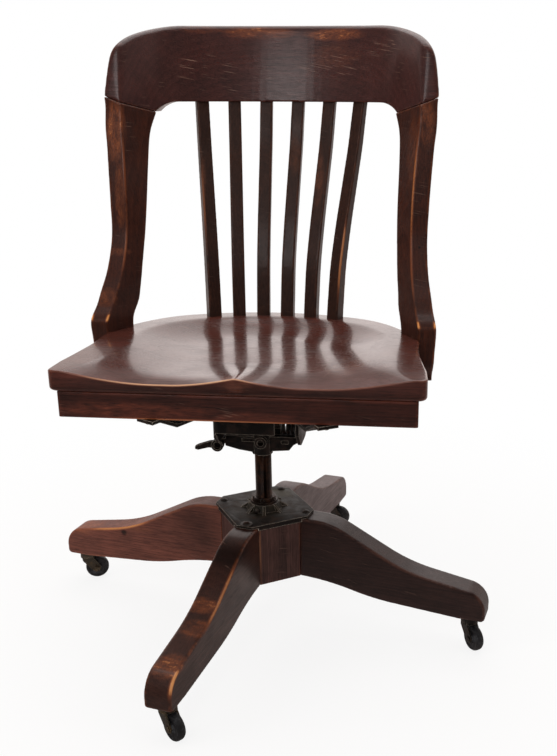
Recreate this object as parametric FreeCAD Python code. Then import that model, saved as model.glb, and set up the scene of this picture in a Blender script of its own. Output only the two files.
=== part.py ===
import FreeCAD, Part
import math
import os

V = FreeCAD.Vector

# A bankers swivel chair: a wooden saddle seat and slatted back on an iron
# tilting mechanism, a steel spindle and a four-legged base on casters.
# Millimetres, +Z up, the front of the seat towards -Y and the sitter's left
# towards +X. The origin lies on the floor under the spindle's axis.

# Clearances
RUN_FIT = 0.05
BODY_GAP = 0.3

# Seat board
SEAT_THICK = 30.0
SEAT_HALF_WIDTH = 254.5
SEAT_FRONT_Y = -198.0
SEAT_REAR_Y = 168.0
SEAT_CORNER_R = 8.0
SEAT_EDGE_R = 6.0
# Where the side and rear edges run, as shares of half the width and of the depth
SEAT_SIDE_SHAPE = [
    (0.991, 0.123),
    (0.959, 0.281),
    (0.941, 0.432),
    (0.938, 0.560),
    (0.900, 0.645),
    (0.844, 0.716),
    (0.763, 0.798),
    (0.615, 0.893),
    (0.445, 0.945),
    (0.230, 0.986),
    (0.000, 1.000),
]

# Saddle shape of the seat's top
DISH_DEPTH = 16.0
DISH_HALF_WIDTH = 190.0
DISH_FRONT_FLARE = 46.0
DISH_RAMP = 125.0
DISH_REAR_RIM = 31.0
DISH_REAR_POWER = 2.1
DISH_SOFTNESS = 0.05
POMMEL_HEIGHT = 12.0
POMMEL_HALF_WIDTH = 87.0
POMMEL_LENGTH = 115.0
POMMEL_RIDGE_R = 3.0
POMMEL_SIDE_POWER = 1.7
POMMEL_FADE_POWER = 1.3
# Grid of points that the saddle's surface passes through
DISH_GRID_MARGIN = 12.0
DISH_GRID_COLUMNS = 59
DISH_GRID_ROWS = 43

# Apron under the seat
APRON_HEIGHT = 37.0
APRON_THICK = 20.0
APRON_INSET = 11.0
APRON_FRONT_INSET = 2.0
APRON_CORNER_R = 3.0
APRON_JOINT_PAST_POST = 8.0

# Back posts: the foot lies against the seat's side, the top under the crest
POST_WIDTH = 29.0
POST_FACE_SKEW = 1.5
POST_FOOT_INSET = 16.5
POST_FOOT_Y = 9.0
POST_FOOT_DEPTH = 47.0
POST_FOOT_TURN_IN = 29.0
POST_DROP = 64.0
POST_EDGE_R = 3.0
POST_SECTIONS = 22
POST_TOP_LEAD = 4.5
# Screws that hold a post's foot, and the plugs over their heads
POST_SCREW_LENGTH = 44.0
POST_SCREW_R = 2.5
POST_SCREW_HEAD_R = 4.5
POST_SCREW_HEAD = 3.0
POST_SCREW_START = 13.0
POST_SCREW_HEIGHT_SHARE = 0.4
POST_PLUG_R = 5.0
POST_PLUG_LENGTH = 20.0
# Height share, sideways shift of the front arris, front share of the sweep,
# sideways shift of the rear edge from the front arris, depth of the section
POST_STATIONS = [
    (-0.190, -4.0, -0.010, -27.0, 45.0),
    (0.000, 0.0, 0.000, -29.0, 47.0),
    (0.055, 0.0, 0.000, -31.0, 47.0),
    (0.100, -4.0, 0.110, -30.5, 47.0),
    (0.160, -8.0, 0.230, -27.8, 45.0),
    (0.260, -13.0, 0.430, -26.3, 31.0),
    (0.410, -15.6, 0.630, -26.3, 27.0),
    (0.560, -15.4, 0.700, -26.0, 37.0),
    (0.700, -13.4, 0.780, -26.8, 46.0),
    (0.830, -10.3, 0.870, -30.2, 51.5),
    (0.880, -8.2, 0.910, -34.0, 54.5),
    (0.940, -7.2, 0.960, -40.0, 60.0),
    (1.060, -7.2, 1.000, -48.0, 67.0),
]

# Back slats
SLAT_WIDTH = 21.0
SLAT_FOOT_THICK = 20.0
SLAT_HEAD_THICK = 14.0
SLAT_EDGE_R = 2.0
SLAT_COUNT = 6
SLAT_TURN = 7.7
# Way that each pair of slats faces, in degrees from the middle pair outwards
SLAT_FACING = [3.85, 11.55, 30.0]
SLAT_FOOT_PITCH = 40.1
SLAT_FOOT_ARC_R = 304.0
SLAT_FOOT_REAR_MARGIN = 5.0
SLAT_HOUSING = 12.0
SLAT_SECTIONS = 15
# Height share against the share of the backward sweep
SLAT_BEND = [
    (0.00, 0.000),
    (0.10, 0.045),
    (0.25, 0.135),
    (0.43, 0.325),
    (0.61, 0.555),
    (0.79, 0.785),
    (0.90, 0.895),
    (1.00, 0.990),
]

# Crest rail
CREST_MID_Y = 270.0
CREST_ARC_R = 400.0
CREST_END_R = 150.0
CREST_END_TURN = 56.0
CREST_THICK = 25.0
CREST_HALF_WIDTH = 259.5
CREST_HEIGHT = 119.5
CREST_RAKE = 14.5
CREST_EDGE_R = 9.0
CREST_INNER_R = 33.0
CREST_EAR = 13.0
CREST_EAR_WIDTH = 60.5
CREST_JOINT_SLOPE = 20.0
CREST_JOINT_REACH = 60.0
# Line of the crest's top towards its end: distance in from the end, drop below the top
CREST_SHOULDER = [
    (99.5, 1.5),
    (35.0, 18.0),
    (6.8, 56.0),
    (0.0, 109.5),
]
# Rounding of the arrises at the crest's ends, from the joint up to the top
CREST_END_LOW_R = 3.0
CREST_END_INNER_R = 24.0
CREST_END_OUTER_R = 8.0
CREST_END_PROUD = 0.5
# Skin by which a cutting solid clears the faces that it leaves alone
CUT_SLACK = 0.02
BACK_RISE = 336.0

# Base of four legs, turned as it stands under the seat
BASE_TURN = -13.14
LEG_COUNT = 4
LEG_THICK = 39.3
LEG_EDGE_R = 3.0
HUB_R = 67.5
HUB_BOTTOM_Z = 82.0
HUB_TOP_Z = 182.0
LEG_NOSE_R = 364.0
LEG_NOSE_TOP_Z = 102.0
LEG_NOSE_BOTTOM_Z = 52.5
LEG_NOSE_CHAMFER = 4.0
# Upper side of a leg from the hub outwards: radius, drop below the hub's top
LEG_UPPER_SHAPE = {
    "flat_end": (90.0, 0.0),
    "bend_mid": (116.0, 3.1),
    "bend_end": (140.0, 12.2),
    "slope_end": (205.0, 46.0),
    "hollow_mid": (238.5, 60.2),
    "hollow_end": (275.0, 69.4),
}
# Lower side from the hub outwards: radius, rise above the nose's underside
LEG_LOWER_SHAPE = {
    "hub_mid": (112.0, 26.0),
    "arch_start": (151.0, 18.5),
    "arch_mid": (184.0, 11.5),
    "arch_end": (216.0, 7.5),
}
# Round of the nose: distance in from its tip, drop below its top
LEG_NOSE_SHAPE = {
    "start": (27.0, 0.0),
    "mid": (6.0, 13.5),
    "end": (0.0, 36.0),
}
DOWEL_R = 5.0
DOWEL_LENGTH = 50.0
DOWEL_UP = 26.0
DOWEL_APART = 46.0

# Iron plate and socket on the hub
PLATE_THICK = 4.0
PLATE_TIP_R = 79.0
PLATE_TIP_HALF = 13.0
PLATE_LIP_DROP = 4.0
PLATE_LIP_THICK = 3.0
PLATE_BOSS_FOOT_R = 28.0
PLATE_BOSS_TOP_R = 23.0
PLATE_BOSS_HEIGHT = 10.0
PLATE_RIB_COUNT = 8
PLATE_RIB_THICK = 4.0
PLATE_RIB_REACH = 38.0
PLATE_SCREW_R = 71.0
SCREW_HEAD_R = 6.0
SCREW_HEAD_HEIGHT = 3.2
SCREW_SHANK_R = 2.6
PLATE_SCREW_LENGTH = 25.0
WASHER_R = 9.0
WASHER_THICK = 1.2
SET_SCREW_R = 3.0
SOCKET_WALL = 3.5

# Spindle, its turning sleeve and the height nut
SPINDLE_R = 13.0
SPINDLE_SHOWN = 76.0
SPINDLE_TAIL_Z = 88.0
KEYWAY_WIDTH = 4.0
KEYWAY_DEPTH = 2.5
KEYWAY_TURN = -70.0
SLEEVE_WALL = 3.5
SLEEVE_COLLAR_R = 20.5
SLEEVE_COLLAR_THICK = 3.0
NUT_R = 18.5
NUT_THICK = 6.0
NUT_NOTCH_COUNT = 6
NUT_NOTCH_R = 2.5

# Tilting mechanism
PIVOT_UP = 51.0
PIVOT_Y = 8.0
SHAFT_R = 8.0
YOKE_NECK_R = 15.5
YOKE_THICK = 24.0
YOKE_FRONT_Y = -10.0
YOKE_BARREL_R = 15.0
YOKE_BARREL_HALF = 29.0
YOKE_WING_HALF = 57.0
YOKE_EYE_X = -68.0
YOKE_EYE_DROP = 37.6
YOKE_EYE_R = 8.5
YOKE_EYE_BORE_R = 5.0
YOKE_BOSS_R = 9.5
YOKE_BOSS_OUT = 8.0
YOKE_BOSS_DROP = 31.0
YOKE_NECK_DROP = 3.0
YOKE_EAR_THICK = 6.0
YOKE_EAR_FALL = 11.5
YOKE_EAR_CLEARANCE = 1.5
YOKE_LEDGE_THICK = 7.0
YOKE_STALK_HALF = 7.0
# Lower edge of the yoke's web on each side: distance from the middle, drop under the wings
YOKE_WEB_LEFT = [(-36.0, 23.0)]
YOKE_WEB_RIGHT = [(43.0, 22.0), (50.0, 13.0), (57.0, 9.0)]
# Slots sunk in the front of the web: left and right end, drop under the wings
YOKE_SLOTS = [(-31.0, -12.0, 8.5), (31.0, 42.0, 11.0)]
YOKE_SLOT_HEIGHT = 4.5
YOKE_SLOT_DEPTH = 5.0
LOCK_SCREW_SUNK = 4.5
LOCK_SCREW_SLOT = 1.4
LEVER_THICK = 7.0
LEVER_HUB_R = 9.5
LEVER_HUB_BORE_R = 6.0
LEVER_HUB_LONG = 11.0
LEVER_HUB_HOLLOW = 6.0
# Outline of the finger: distance from the eye towards the tip, height over the eye
LEVER_TOP = [(-2.0, 7.0), (12.0, 6.0), (30.0, 0.0)]
LEVER_TIP = [(35.5, -3.0), (35.5, -7.0)]
LEVER_UNDERSIDE = [(31.0, -8.5), (14.0, -4.0), (-2.0, -5.0)]
HOUSING_HALF_WIDTH = 66.0
HOUSING_FRONT_Y = -60.0
HOUSING_REAR_Y = 62.0
HOUSING_WALL = 5.5
HOUSING_UP = 44.0
HOUSING_FRONT_DROP = 3.0
HOUSING_REAR_RISE = 18.0
HOUSING_CHEEK_FRONT = 24.0
HOUSING_STOP_HALF = 4.0
HOUSING_STOP_BACK = 5.0
HOUSING_CHEEK_R = 28.0
HOUSING_SHIELD_END_X = 29.0
HOUSING_CORNER_R = 12.0
SHAFT_NUT_R = 13.0
SHAFT_NUT_THICK = 8.0

# Torsion springs round the tilt shaft
SPRING_WIRE = 5.0
SPRING_COIL_R = 21.0
SPRING_PITCH = 6.5
SPRING_TURNS = 3.5
SPRING_START_X = 34.0
SPRING_LEG = 22.0

# Iron arms under the seat
ARM_THICK = 5.0
ARM_WIDTH = 30.0
ARM_X = 46.0
ARM_ELBOW_Y = 60.0
ARM_SPLAY = 30.0
ARM_FRONT_FLAT = 112.0
ARM_REAR_FLAT = 38.0
ARM_RISE_RUN = 31.0
ARM_RISE = 16.0
ARM_PAD_LENGTH = 14.0
ARM_BOLT_Y = 34.0
BOLT_R = 4.0
BOLT_HEAD_R = 7.5
BOLT_HEAD_HEIGHT = 5.0

# Casters
STEM_CIRCLE_R = 338.0
STEM_R = 5.0
STEM_HEIGHT = 36.0
SOCKET_R = 7.5
SOCKET_FLANGE_R = 13.0
SOCKET_FLANGE_THICK = 2.0
WHEEL_R = 19.5
WHEEL_WIDTH = 12.5
WHEEL_HUB_R = 7.0
WHEEL_HUB_OUT = 1.0
AXLE_R = 2.5
HORN_THICK = 2.2
HORN_CROWN_R = 13.0
HORN_HEAD_OVER_WHEEL = 1.5
HORN_EDGE_R = 2.0
# Lower end of the horn's cheeks: distance behind the axle, height over the axle
HORN_CHEEK = [(-7.5, -3.5), (-3.0, -6.5), (3.5, -5.0), (6.0, 2.0), (2.0, 9.0)]
AXLE_HEAD_OVER = 1.5
AXLE_HEAD_THICK = 1.6
STEM_TIP_R = 1.2
STEM_SHORT_OF_SOCKET = 4.0
WHEEL_DISH = 1.2
WHEEL_RIM_R = 2.0
WHEEL_RIM_WIDE = 5.0
CASTER_TRAIL = 14.0
# Way each wheel trails behind its stem, in degrees from +X
CASTER_TRAIL_ANGLES = {"right": -58.0, "rear": -15.0, "left": 20.0, "front": -42.0}

# Heights and places that follow from the sizes above
PLATE_TOP_Z = HUB_TOP_Z + PLATE_THICK
BOSS_TOP_Z = PLATE_TOP_Z + PLATE_BOSS_HEIGHT
NUT_BOTTOM_Z = BOSS_TOP_Z + SLEEVE_COLLAR_THICK
NUT_TOP_Z = NUT_BOTTOM_Z + NUT_THICK
NECK_Z = NUT_TOP_Z + SPINDLE_SHOWN
PIVOT_Z = NECK_Z + PIVOT_UP
ARM_BOTTOM_Z = PIVOT_Z + HOUSING_UP
APRON_BOTTOM_Z = ARM_BOTTOM_Z + ARM_RISE + ARM_THICK
SEAT_BOTTOM_Z = APRON_BOTTOM_Z + APRON_HEIGHT
SEAT_TOP_Z = SEAT_BOTTOM_Z + SEAT_THICK
SEAT_DEPTH = SEAT_REAR_Y - SEAT_FRONT_Y
CREST_BOTTOM_Z = SEAT_TOP_Z + BACK_RISE
CREST_TOP_Z = CREST_BOTTOM_Z + CREST_HEIGHT
POST_FOOT_X = SEAT_HALF_WIDTH - POST_FOOT_INSET
LEG_ANGLES = {
    "right": BASE_TURN,
    "rear": BASE_TURN + 90.0,
    "left": BASE_TURN + 180.0,
    "front": BASE_TURN + 270.0,
}


# General helpers

def radians_of(degrees):
    return degrees * math.pi / 180.0


def polar(radius, degrees, z=0.0):
    angle = radians_of(degrees)
    return V(radius * math.cos(angle), radius * math.sin(angle), z)


def face_of(points):
    return Part.Face(Part.makePolygon(points + [points[0]]))


def box(x0, x1, y0, y1, z0, z1):
    return Part.makeBox(x1 - x0, y1 - y0, z1 - z0, V(x0, y0, z0))


def upright(radius, z0, z1, x=0.0, y=0.0):
    return Part.makeCylinder(radius, z1 - z0, V(x, y, z0), V(0, 0, 1))


def along_x(radius, x0, x1, y, z):
    return Part.makeCylinder(radius, x1 - x0, V(x0, y, z), V(1, 0, 0))


def along_y(radius, y0, y1, x, z):
    return Part.makeCylinder(radius, y1 - y0, V(x, y0, z), V(0, 1, 0))


def turned(shape, degrees, centre=V(0, 0, 0), axis=V(0, 0, 1)):
    copy = shape.copy()
    copy.rotate(centre, axis, degrees)
    return copy


def moved(shape, x, y, z):
    copy = shape.copy()
    copy.translate(V(x, y, z))
    return copy


def mirrored(shape):
    return shape.mirror(V(0, 0, 0), V(1, 0, 0))


def rounded_edges(shape, radius, wanted):
    edges = [edge for edge in shape.Edges if wanted(edge)]
    return shape.makeFillet(radius, edges)


def is_upright(edge):
    box_of = edge.BoundBox
    return box_of.ZLength > 1.0 and box_of.XLength < 0.01 and box_of.YLength < 0.01


def smooth_line(points):
    curve = Part.BSplineCurve()
    curve.interpolate(points)
    return curve.toShape()


def dome(radius, height, x, y, z, up=1.0):
    """A round screw head with its flat side at z."""
    big = (radius * radius + height * height) / (2.0 * height)
    ball = Part.makeSphere(big, V(x, y, z + up * (height - big)))
    low = z if up > 0 else z - height
    return ball.common(upright(radius + 1.0, low, low + height, x, y))


def between(table, share):
    """The row of a table at a share between its rows, along a smooth line through them."""
    last = len(table) - 1
    place = 0
    while place < last - 1 and share > table[place + 1][0]:
        place += 1
    span = table[place + 1][0] - table[place][0]
    part = (share - table[place][0]) / span
    row = [share]
    for column in range(1, len(table[0])):
        slopes = []
        for here in (place, place + 1):
            low = max(here - 1, 0)
            high = min(here + 1, last)
            rise = table[high][column] - table[low][column]
            slopes.append(rise / (table[high][0] - table[low][0]) * span)
        start = table[place][column]
        end = table[place + 1][column]
        bend = 3.0 * (end - start) - 2.0 * slopes[0] - slopes[1]
        twist = slopes[0] + slopes[1] - 2.0 * (end - start)
        row.append(start + slopes[0] * part + bend * part ** 2 + twist * part ** 3)
    return row


def even_rows(table, count):
    """Rows at even steps from the first to the last row of a table."""
    first = table[0][0]
    last = table[-1][0]
    return [between(table, first + (last - first) * step / (count - 1)) for step in range(count)]


def export(name, shape):
    solids = shape.Solids
    clean = solids[0] if len(solids) == 1 else Part.makeCompound(solids)
    clean.exportStep("parts/" + name + ".step")
    kinds = "valid" if clean.isValid() else "NOT VALID"
    print(name, len(solids), kinds, round(clean.Volume / 1000.0, 2))


# Seat board and apron

def seat_edge_points(inset):
    """The seat's right edge from the front to the middle of the rear, drawn in by an inset."""
    points = []
    for across, along in SEAT_SIDE_SHAPE:
        points.append(V(across * SEAT_HALF_WIDTH, SEAT_FRONT_Y + along * SEAT_DEPTH, 0))
    inner = []
    for index, point in enumerate(points):
        before = points[max(index - 1, 0)]
        after = points[min(index + 1, len(points) - 1)]
        run = (after - before).normalize()
        if index == len(points) - 1:
            run = V(-1, 0, 0)
        inner.append(point + V(-run.y, run.x, 0) * inset)
    return inner


def seat_plan(inset, front_half, front_y):
    """The plan of the seat or of a ring inside it, as a flat face at height zero."""
    right = seat_edge_points(inset)
    left = [V(-point.x, point.y, 0) for point in reversed(right[:-1])]
    corner = V(front_half, front_y, 0)
    lines = [
        Part.LineSegment(V(-front_half, front_y, 0), corner).toShape(),
        Part.LineSegment(corner, right[0]).toShape(),
        smooth_line(right + left),
        Part.LineSegment(left[-1], V(-front_half, front_y, 0)).toShape(),
    ]
    return Part.Face(Part.Wire(lines))


def dish_depth(x, y):
    """How far the saddle lies below the seat's flat rim."""
    side = abs(x)
    forward = max(0.0, -y) / -SEAT_FRONT_Y
    half = DISH_HALF_WIDTH + DISH_FRONT_FLARE * forward ** 4
    ramp = DISH_RAMP * half / (DISH_HALF_WIDTH + DISH_FRONT_FLARE)
    room = (half - side) / ramp
    rear_reach = SEAT_REAR_Y - DISH_REAR_RIM
    if y > 0.0:
        share = (side / half) ** DISH_REAR_POWER + (y / rear_reach) ** DISH_REAR_POWER
        room = (1.0 - share ** (1.0 / DISH_REAR_POWER)) * half / ramp
    room = (room + math.sqrt(room * room + DISH_SOFTNESS * DISH_SOFTNESS)) / 2.0
    depth = DISH_DEPTH * math.sin(math.pi / 2.0 * min(room, 1.0))
    ridge_share = max(0.0, 1.0 - math.sqrt(x * x + POMMEL_RIDGE_R * POMMEL_RIDGE_R) / POMMEL_HALF_WIDTH)
    fade = max(0.0, 1.0 - (y - SEAT_FRONT_Y) / POMMEL_LENGTH)
    ridge = POMMEL_HEIGHT * ridge_share ** POMMEL_SIDE_POWER * min(fade, 1.0) ** POMMEL_FADE_POWER
    return depth - ridge


def dish_tool():
    """The space above the saddle, to be cut from the board."""
    margin = DISH_GRID_MARGIN
    columns = DISH_GRID_COLUMNS
    rows = DISH_GRID_ROWS
    grid = []
    for column in range(columns):
        x = (SEAT_HALF_WIDTH + margin) * (2.0 * column / (columns - 1) - 1.0)
        line = []
        for row in range(rows):
            y = SEAT_FRONT_Y - margin + (SEAT_DEPTH + 2.0 * margin) * row / (rows - 1)
            line.append(V(x, y, SEAT_TOP_Z - dish_depth(x, max(y, SEAT_FRONT_Y))))
        grid.append(line)
    surface = Part.BSplineSurface()
    surface.interpolate(grid)
    return surface.toShape().extrude(V(0, 0, 3.0 * SEAT_THICK))


def seat_board():
    plan = seat_plan(0.0, SEAT_HALF_WIDTH, SEAT_FRONT_Y)
    board = plan.extrude(V(0, 0, SEAT_THICK + 2.0))
    board.translate(V(0, 0, SEAT_BOTTOM_Z))
    corners = [edge for edge in board.Edges if is_upright(edge) and edge.BoundBox.YMin < SEAT_FRONT_Y + 1.0]
    board = board.makeFillet(SEAT_CORNER_R, corners)
    low = [edge for edge in board.Edges if edge.BoundBox.ZMax < SEAT_BOTTOM_Z + 0.01]
    board = board.makeFillet(SEAT_EDGE_R, low)
    return board.cut(dish_tool())


def apron_ring():
    outer = seat_plan(APRON_INSET, SEAT_HALF_WIDTH - APRON_INSET, SEAT_FRONT_Y + APRON_FRONT_INSET)
    inner_inset = APRON_INSET + APRON_THICK
    inner_front = SEAT_FRONT_Y + APRON_FRONT_INSET + APRON_THICK
    inner = seat_plan(inner_inset, SEAT_HALF_WIDTH - inner_inset, inner_front)
    ring = outer.cut(inner).extrude(V(0, 0, APRON_HEIGHT))
    ring.translate(V(0, 0, APRON_BOTTOM_Z))
    return ring


def apron_rails(posts):
    ring = apron_ring()
    for post in posts:
        ring = ring.cut(post)
    wide = 2.0 * SEAT_HALF_WIDTH
    z0 = APRON_BOTTOM_Z - 1.0
    z1 = SEAT_BOTTOM_Z + 1.0
    front_y = SEAT_FRONT_Y + APRON_FRONT_INSET + APRON_THICK
    rear_y = POST_FOOT_Y + POST_FOOT_DEPTH + APRON_JOINT_PAST_POST
    front = ring.common(box(-wide, wide, SEAT_FRONT_Y - 1.0, front_y, z0, z1))
    front = rounded_edges(
        front, APRON_CORNER_R,
        lambda edge: is_upright(edge) and edge.BoundBox.YMin < front_y - APRON_THICK + 0.5)
    right = ring.common(box(0.0, wide, front_y, rear_y, z0, z1))
    left = ring.common(box(-wide, 0.0, front_y, rear_y, z0, z1))
    rear = ring.common(box(-wide, wide, rear_y, SEAT_REAR_Y, z0, z1))
    return {"apron_front": front, "apron_right": right, "apron_left": left, "apron_rear": rear}


# Crest rail, posts and slats

def crest_offset_line(offset):
    """The right half of the crest's plan line moved out by an offset, with its tangent end run."""
    slat_turn = SLAT_TURN * (SLAT_COUNT - 1) / 2.0
    centre = V(0, CREST_MID_Y - CREST_ARC_R, 0)
    first = radians_of(slat_turn)
    last = radians_of(CREST_END_TURN)
    joint = centre + V(math.sin(first), math.cos(first), 0) * CREST_ARC_R
    end_centre = joint - V(math.sin(first), math.cos(first), 0) * CREST_END_R

    def on_main(turn):
        return centre + V(math.sin(turn), math.cos(turn), 0) * (CREST_ARC_R + offset)

    def on_end(turn):
        return end_centre + V(math.sin(turn), math.cos(turn), 0) * (CREST_END_R + offset)

    run = V(math.cos(last), -math.sin(last), 0)
    return on_main, on_end, first, last, run


def crest_axis_y(x):
    """Where the crest's centre line lies at a distance x from the middle, on its end run."""
    on_main, on_end, first, last, run = crest_offset_line(0.0)
    start = on_end(last)
    return start.y + (x - start.x) * run.y / run.x


def crest_side(offset, reach):
    """Edges of one side of the crest's plan from the left end to the right end."""
    on_main, on_end, first, last, run = crest_offset_line(offset)
    tip = on_end(last) + run * reach

    def flip(point):
        return V(-point.x, point.y, 0)

    middle = (first + last) / 2.0
    return [
        Part.LineSegment(flip(tip), flip(on_end(last))).toShape(),
        Part.Arc(flip(on_end(last)), flip(on_end(middle)), flip(on_end(first))).toShape(),
        Part.Arc(flip(on_main(first)), on_main(0.0), on_main(first)).toShape(),
        Part.Arc(on_end(first), on_end(middle), on_end(last)).toShape(),
        Part.LineSegment(on_end(last), tip).toShape(),
    ], flip(tip), tip


POST_TOP_FRONT_Y = crest_axis_y(POST_FOOT_X + POST_STATIONS[-1][1] + POST_WIDTH / 2.0) - POST_TOP_LEAD


def post_section(station):
    """A rounded slanted section of the right post, lying flat at its height."""
    share, shift, sweep, turn_in, depth = station
    z = SEAT_TOP_Z + share * BACK_RISE
    x = POST_FOOT_X + shift
    y = POST_FOOT_Y + sweep * (POST_TOP_FRONT_Y - POST_FOOT_Y)
    corners = [
        V(x, y, z),
        V(x + POST_WIDTH, y + POST_FACE_SKEW, z),
        V(x + POST_WIDTH + turn_in, y + POST_FACE_SKEW + depth, z),
        V(x + turn_in, y + depth, z),
    ]
    edges = []
    count = len(corners)
    for index in range(count):
        here = corners[index]
        before = (corners[index - 1] - here).normalize()
        after = (corners[(index + 1) % count] - here).normalize()
        next_corner = corners[(index + 1) % count]
        back = (here - next_corner).normalize()
        beyond = (corners[(index + 2) % count] - next_corner).normalize()
        half = before.getAngle(after) / 2.0
        cut = POST_EDGE_R / math.tan(half)
        next_cut = POST_EDGE_R / math.tan(back.getAngle(beyond) / 2.0)
        bisector = (before + after).normalize()
        centre = here + bisector * (POST_EDGE_R / math.sin(half))
        crown = centre - bisector * POST_EDGE_R
        edges.append(Part.Arc(here + before * cut, crown, here + after * cut).toShape())
        edges.append(Part.LineSegment(here + after * cut, next_corner + back * next_cut).toShape())
    return Part.Wire(edges)


def post_blank():
    return Part.makeLoft([post_section(row) for row in even_rows(POST_STATIONS, POST_SECTIONS)], True, False)


def joint_cutter(above):
    """The half space over or under the sloping joint between the right post and the crest."""
    slope = math.tan(radians_of(CREST_JOINT_SLOPE))
    inner_x = CREST_HALF_WIDTH - CREST_EAR_WIDTH
    start_z = CREST_BOTTOM_Z - CREST_EAR
    low_x = inner_x - CREST_JOINT_REACH
    high_x = CREST_HALF_WIDTH + CREST_JOINT_REACH
    far = BACK_RISE if above else -BACK_RISE
    points = [
        V(low_x, 0, start_z + slope * (low_x - inner_x)),
        V(high_x, 0, start_z + slope * (high_x - inner_x)),
        V(high_x, 0, start_z + far),
        V(low_x, 0, start_z + far),
    ]
    return face_of(points).extrude(V(0, CREST_MID_Y + CREST_JOINT_REACH, 0))


def back_post():
    post = post_blank().cut(joint_cutter(True))
    return post.cut(box(0, SEAT_HALF_WIDTH * 2.0, -50.0, 200.0, 0, SEAT_TOP_Z - POST_DROP))


def crest_outline():
    """The crest seen from the front, as a face in the XZ plane."""
    half = CREST_HALF_WIDTH
    low = CREST_BOTTOM_Z
    ear_x = half - CREST_EAR_WIDTH
    ear_z = low - CREST_INNER_R
    inner_x = ear_x - CREST_INNER_R
    corner = CREST_INNER_R * (1.0 - math.sqrt(0.5))
    shoulder = [V(half - inset, 0, CREST_TOP_Z - drop) for inset, drop in CREST_SHOULDER]
    right = [
        Part.LineSegment(V(0, 0, low), V(inner_x, 0, low)).toShape(),
        Part.Arc(V(inner_x, 0, low), V(ear_x - corner, 0, low - corner), V(ear_x, 0, ear_z)).toShape(),
        Part.LineSegment(V(ear_x, 0, ear_z), V(half, 0, ear_z)).toShape(),
        Part.LineSegment(V(half, 0, ear_z), shoulder[-1]).toShape(),
    ]
    start = shoulder[0]
    crown = Part.Arc(V(-start.x, 0, start.z), V(0, 0, CREST_TOP_Z), start).toShape()
    way = crown.tangentAt(crown.LastParameter)
    for end in shoulder[1:]:
        arc = tangent_arc(start, way, end)
        right.append(arc)
        way = arc.tangentAt(arc.LastParameter)
        start = end
    left = [mirrored(edge) for edge in right]
    return Part.Face(Part.Wire(Part.__sortEdges__([crown] + right + left)))


def crest_band():
    """The curved thickness of the crest leaning back by its rake."""
    reach = 2.0 * CREST_JOINT_REACH
    outer, outer_left, outer_right = crest_side(CREST_THICK / 2.0, reach)
    inner, inner_left, inner_right = crest_side(-CREST_THICK / 2.0, reach)
    ends = [
        Part.LineSegment(outer_right, inner_right).toShape(),
        Part.LineSegment(inner_left, outer_left).toShape(),
    ]
    plan = Part.Face(Part.Wire(Part.__sortEdges__(outer + ends + inner)))
    below = CREST_JOINT_REACH
    lean = math.tan(radians_of(CREST_RAKE))
    plan.translate(V(0, -lean * below, CREST_BOTTOM_Z - below))
    tall = CREST_HEIGHT + 1.5 * below
    return plan.extrude(V(0, lean * tall, tall))


def crest_end_cut():
    """What comes off the crest's right end: all in front of the post's face, and the two arrises."""
    lean = math.tan(radians_of(CREST_RAKE))
    low = CREST_BOTTOM_Z - 2.0 * CREST_EAR
    tall = CREST_TOP_Z + CREST_EAR - low
    lift = V(0, lean * tall, tall)
    drop = V(0, lean * (low - CREST_BOTTOM_Z), low)
    front = POST_TOP_FRONT_Y + CREST_END_PROUD
    plan = []
    for offset in (-CREST_THICK / 2.0 - CUT_SLACK, CREST_THICK / 2.0 + CUT_SLACK):
        on_main, on_end, first, last, run = crest_offset_line(offset)
        back = on_end(last)
        tip = back + run * ((front - back.y) / run.y)
        plan.append([back + drop, tip + drop])
    nose = face_of([plan[0][0], plan[0][1], plan[1][1], plan[1][0]]).extrude(lift)
    for corner, radius in ((plan[0][1], CREST_END_INNER_R), (plan[1][1], CREST_END_OUTER_R)):
        arris = [edge for edge in nose.Edges if edge.BoundBox.ZLength > tall - 1.0
                 and min((vertex.Point - corner).Length for vertex in edge.Vertexes) < 1.0]
        starts_low = (arris[0].valueAt(arris[0].FirstParameter) - corner).Length < 1.0
        radii = (CREST_END_LOW_R, radius) if starts_low else (radius, CREST_END_LOW_R)
        nose = nose.makeFillet(radii[0], radii[1], arris)
    wide = CREST_HALF_WIDTH + CREST_JOINT_REACH
    ahead = face_of([
        V(CREST_HALF_WIDTH - 1.2 * CREST_EAR_WIDTH, -CREST_MID_Y, 0) + drop,
        V(wide, -CREST_MID_Y, 0) + drop,
        V(wide, front + 1.5 * CREST_THICK, 0) + drop,
        V(CREST_HALF_WIDTH - 1.2 * CREST_EAR_WIDTH, front + 1.5 * CREST_THICK, 0) + drop,
    ]).extrude(lift)
    return ahead.cut(nose)


def crest_rail():
    slab = crest_outline().extrude(V(0, 500.0, 0))
    rail = crest_band().common(slab)

    def on_top(edge):
        middle = edge.valueAt((edge.FirstParameter + edge.LastParameter) / 2.0)
        return middle.z > CREST_BOTTOM_Z + 25.0 and edge.BoundBox.XLength > 2.0

    rail = rounded_edges(rail, CREST_EDGE_R, on_top)
    for cutter in (crest_end_cut(), joint_cutter(False)):
        rail = rail.cut(cutter).cut(mirrored(cutter))
    return rail


def slat_foot_y(x):
    """Where the middle of a slat's foot lies at a distance x from the seat's middle."""
    drop = SLAT_FOOT_ARC_R - math.sqrt(SLAT_FOOT_ARC_R ** 2 - x ** 2)
    return SEAT_REAR_Y - SLAT_FOOT_REAR_MARGIN - SLAT_FOOT_THICK / 2.0 - drop


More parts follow.
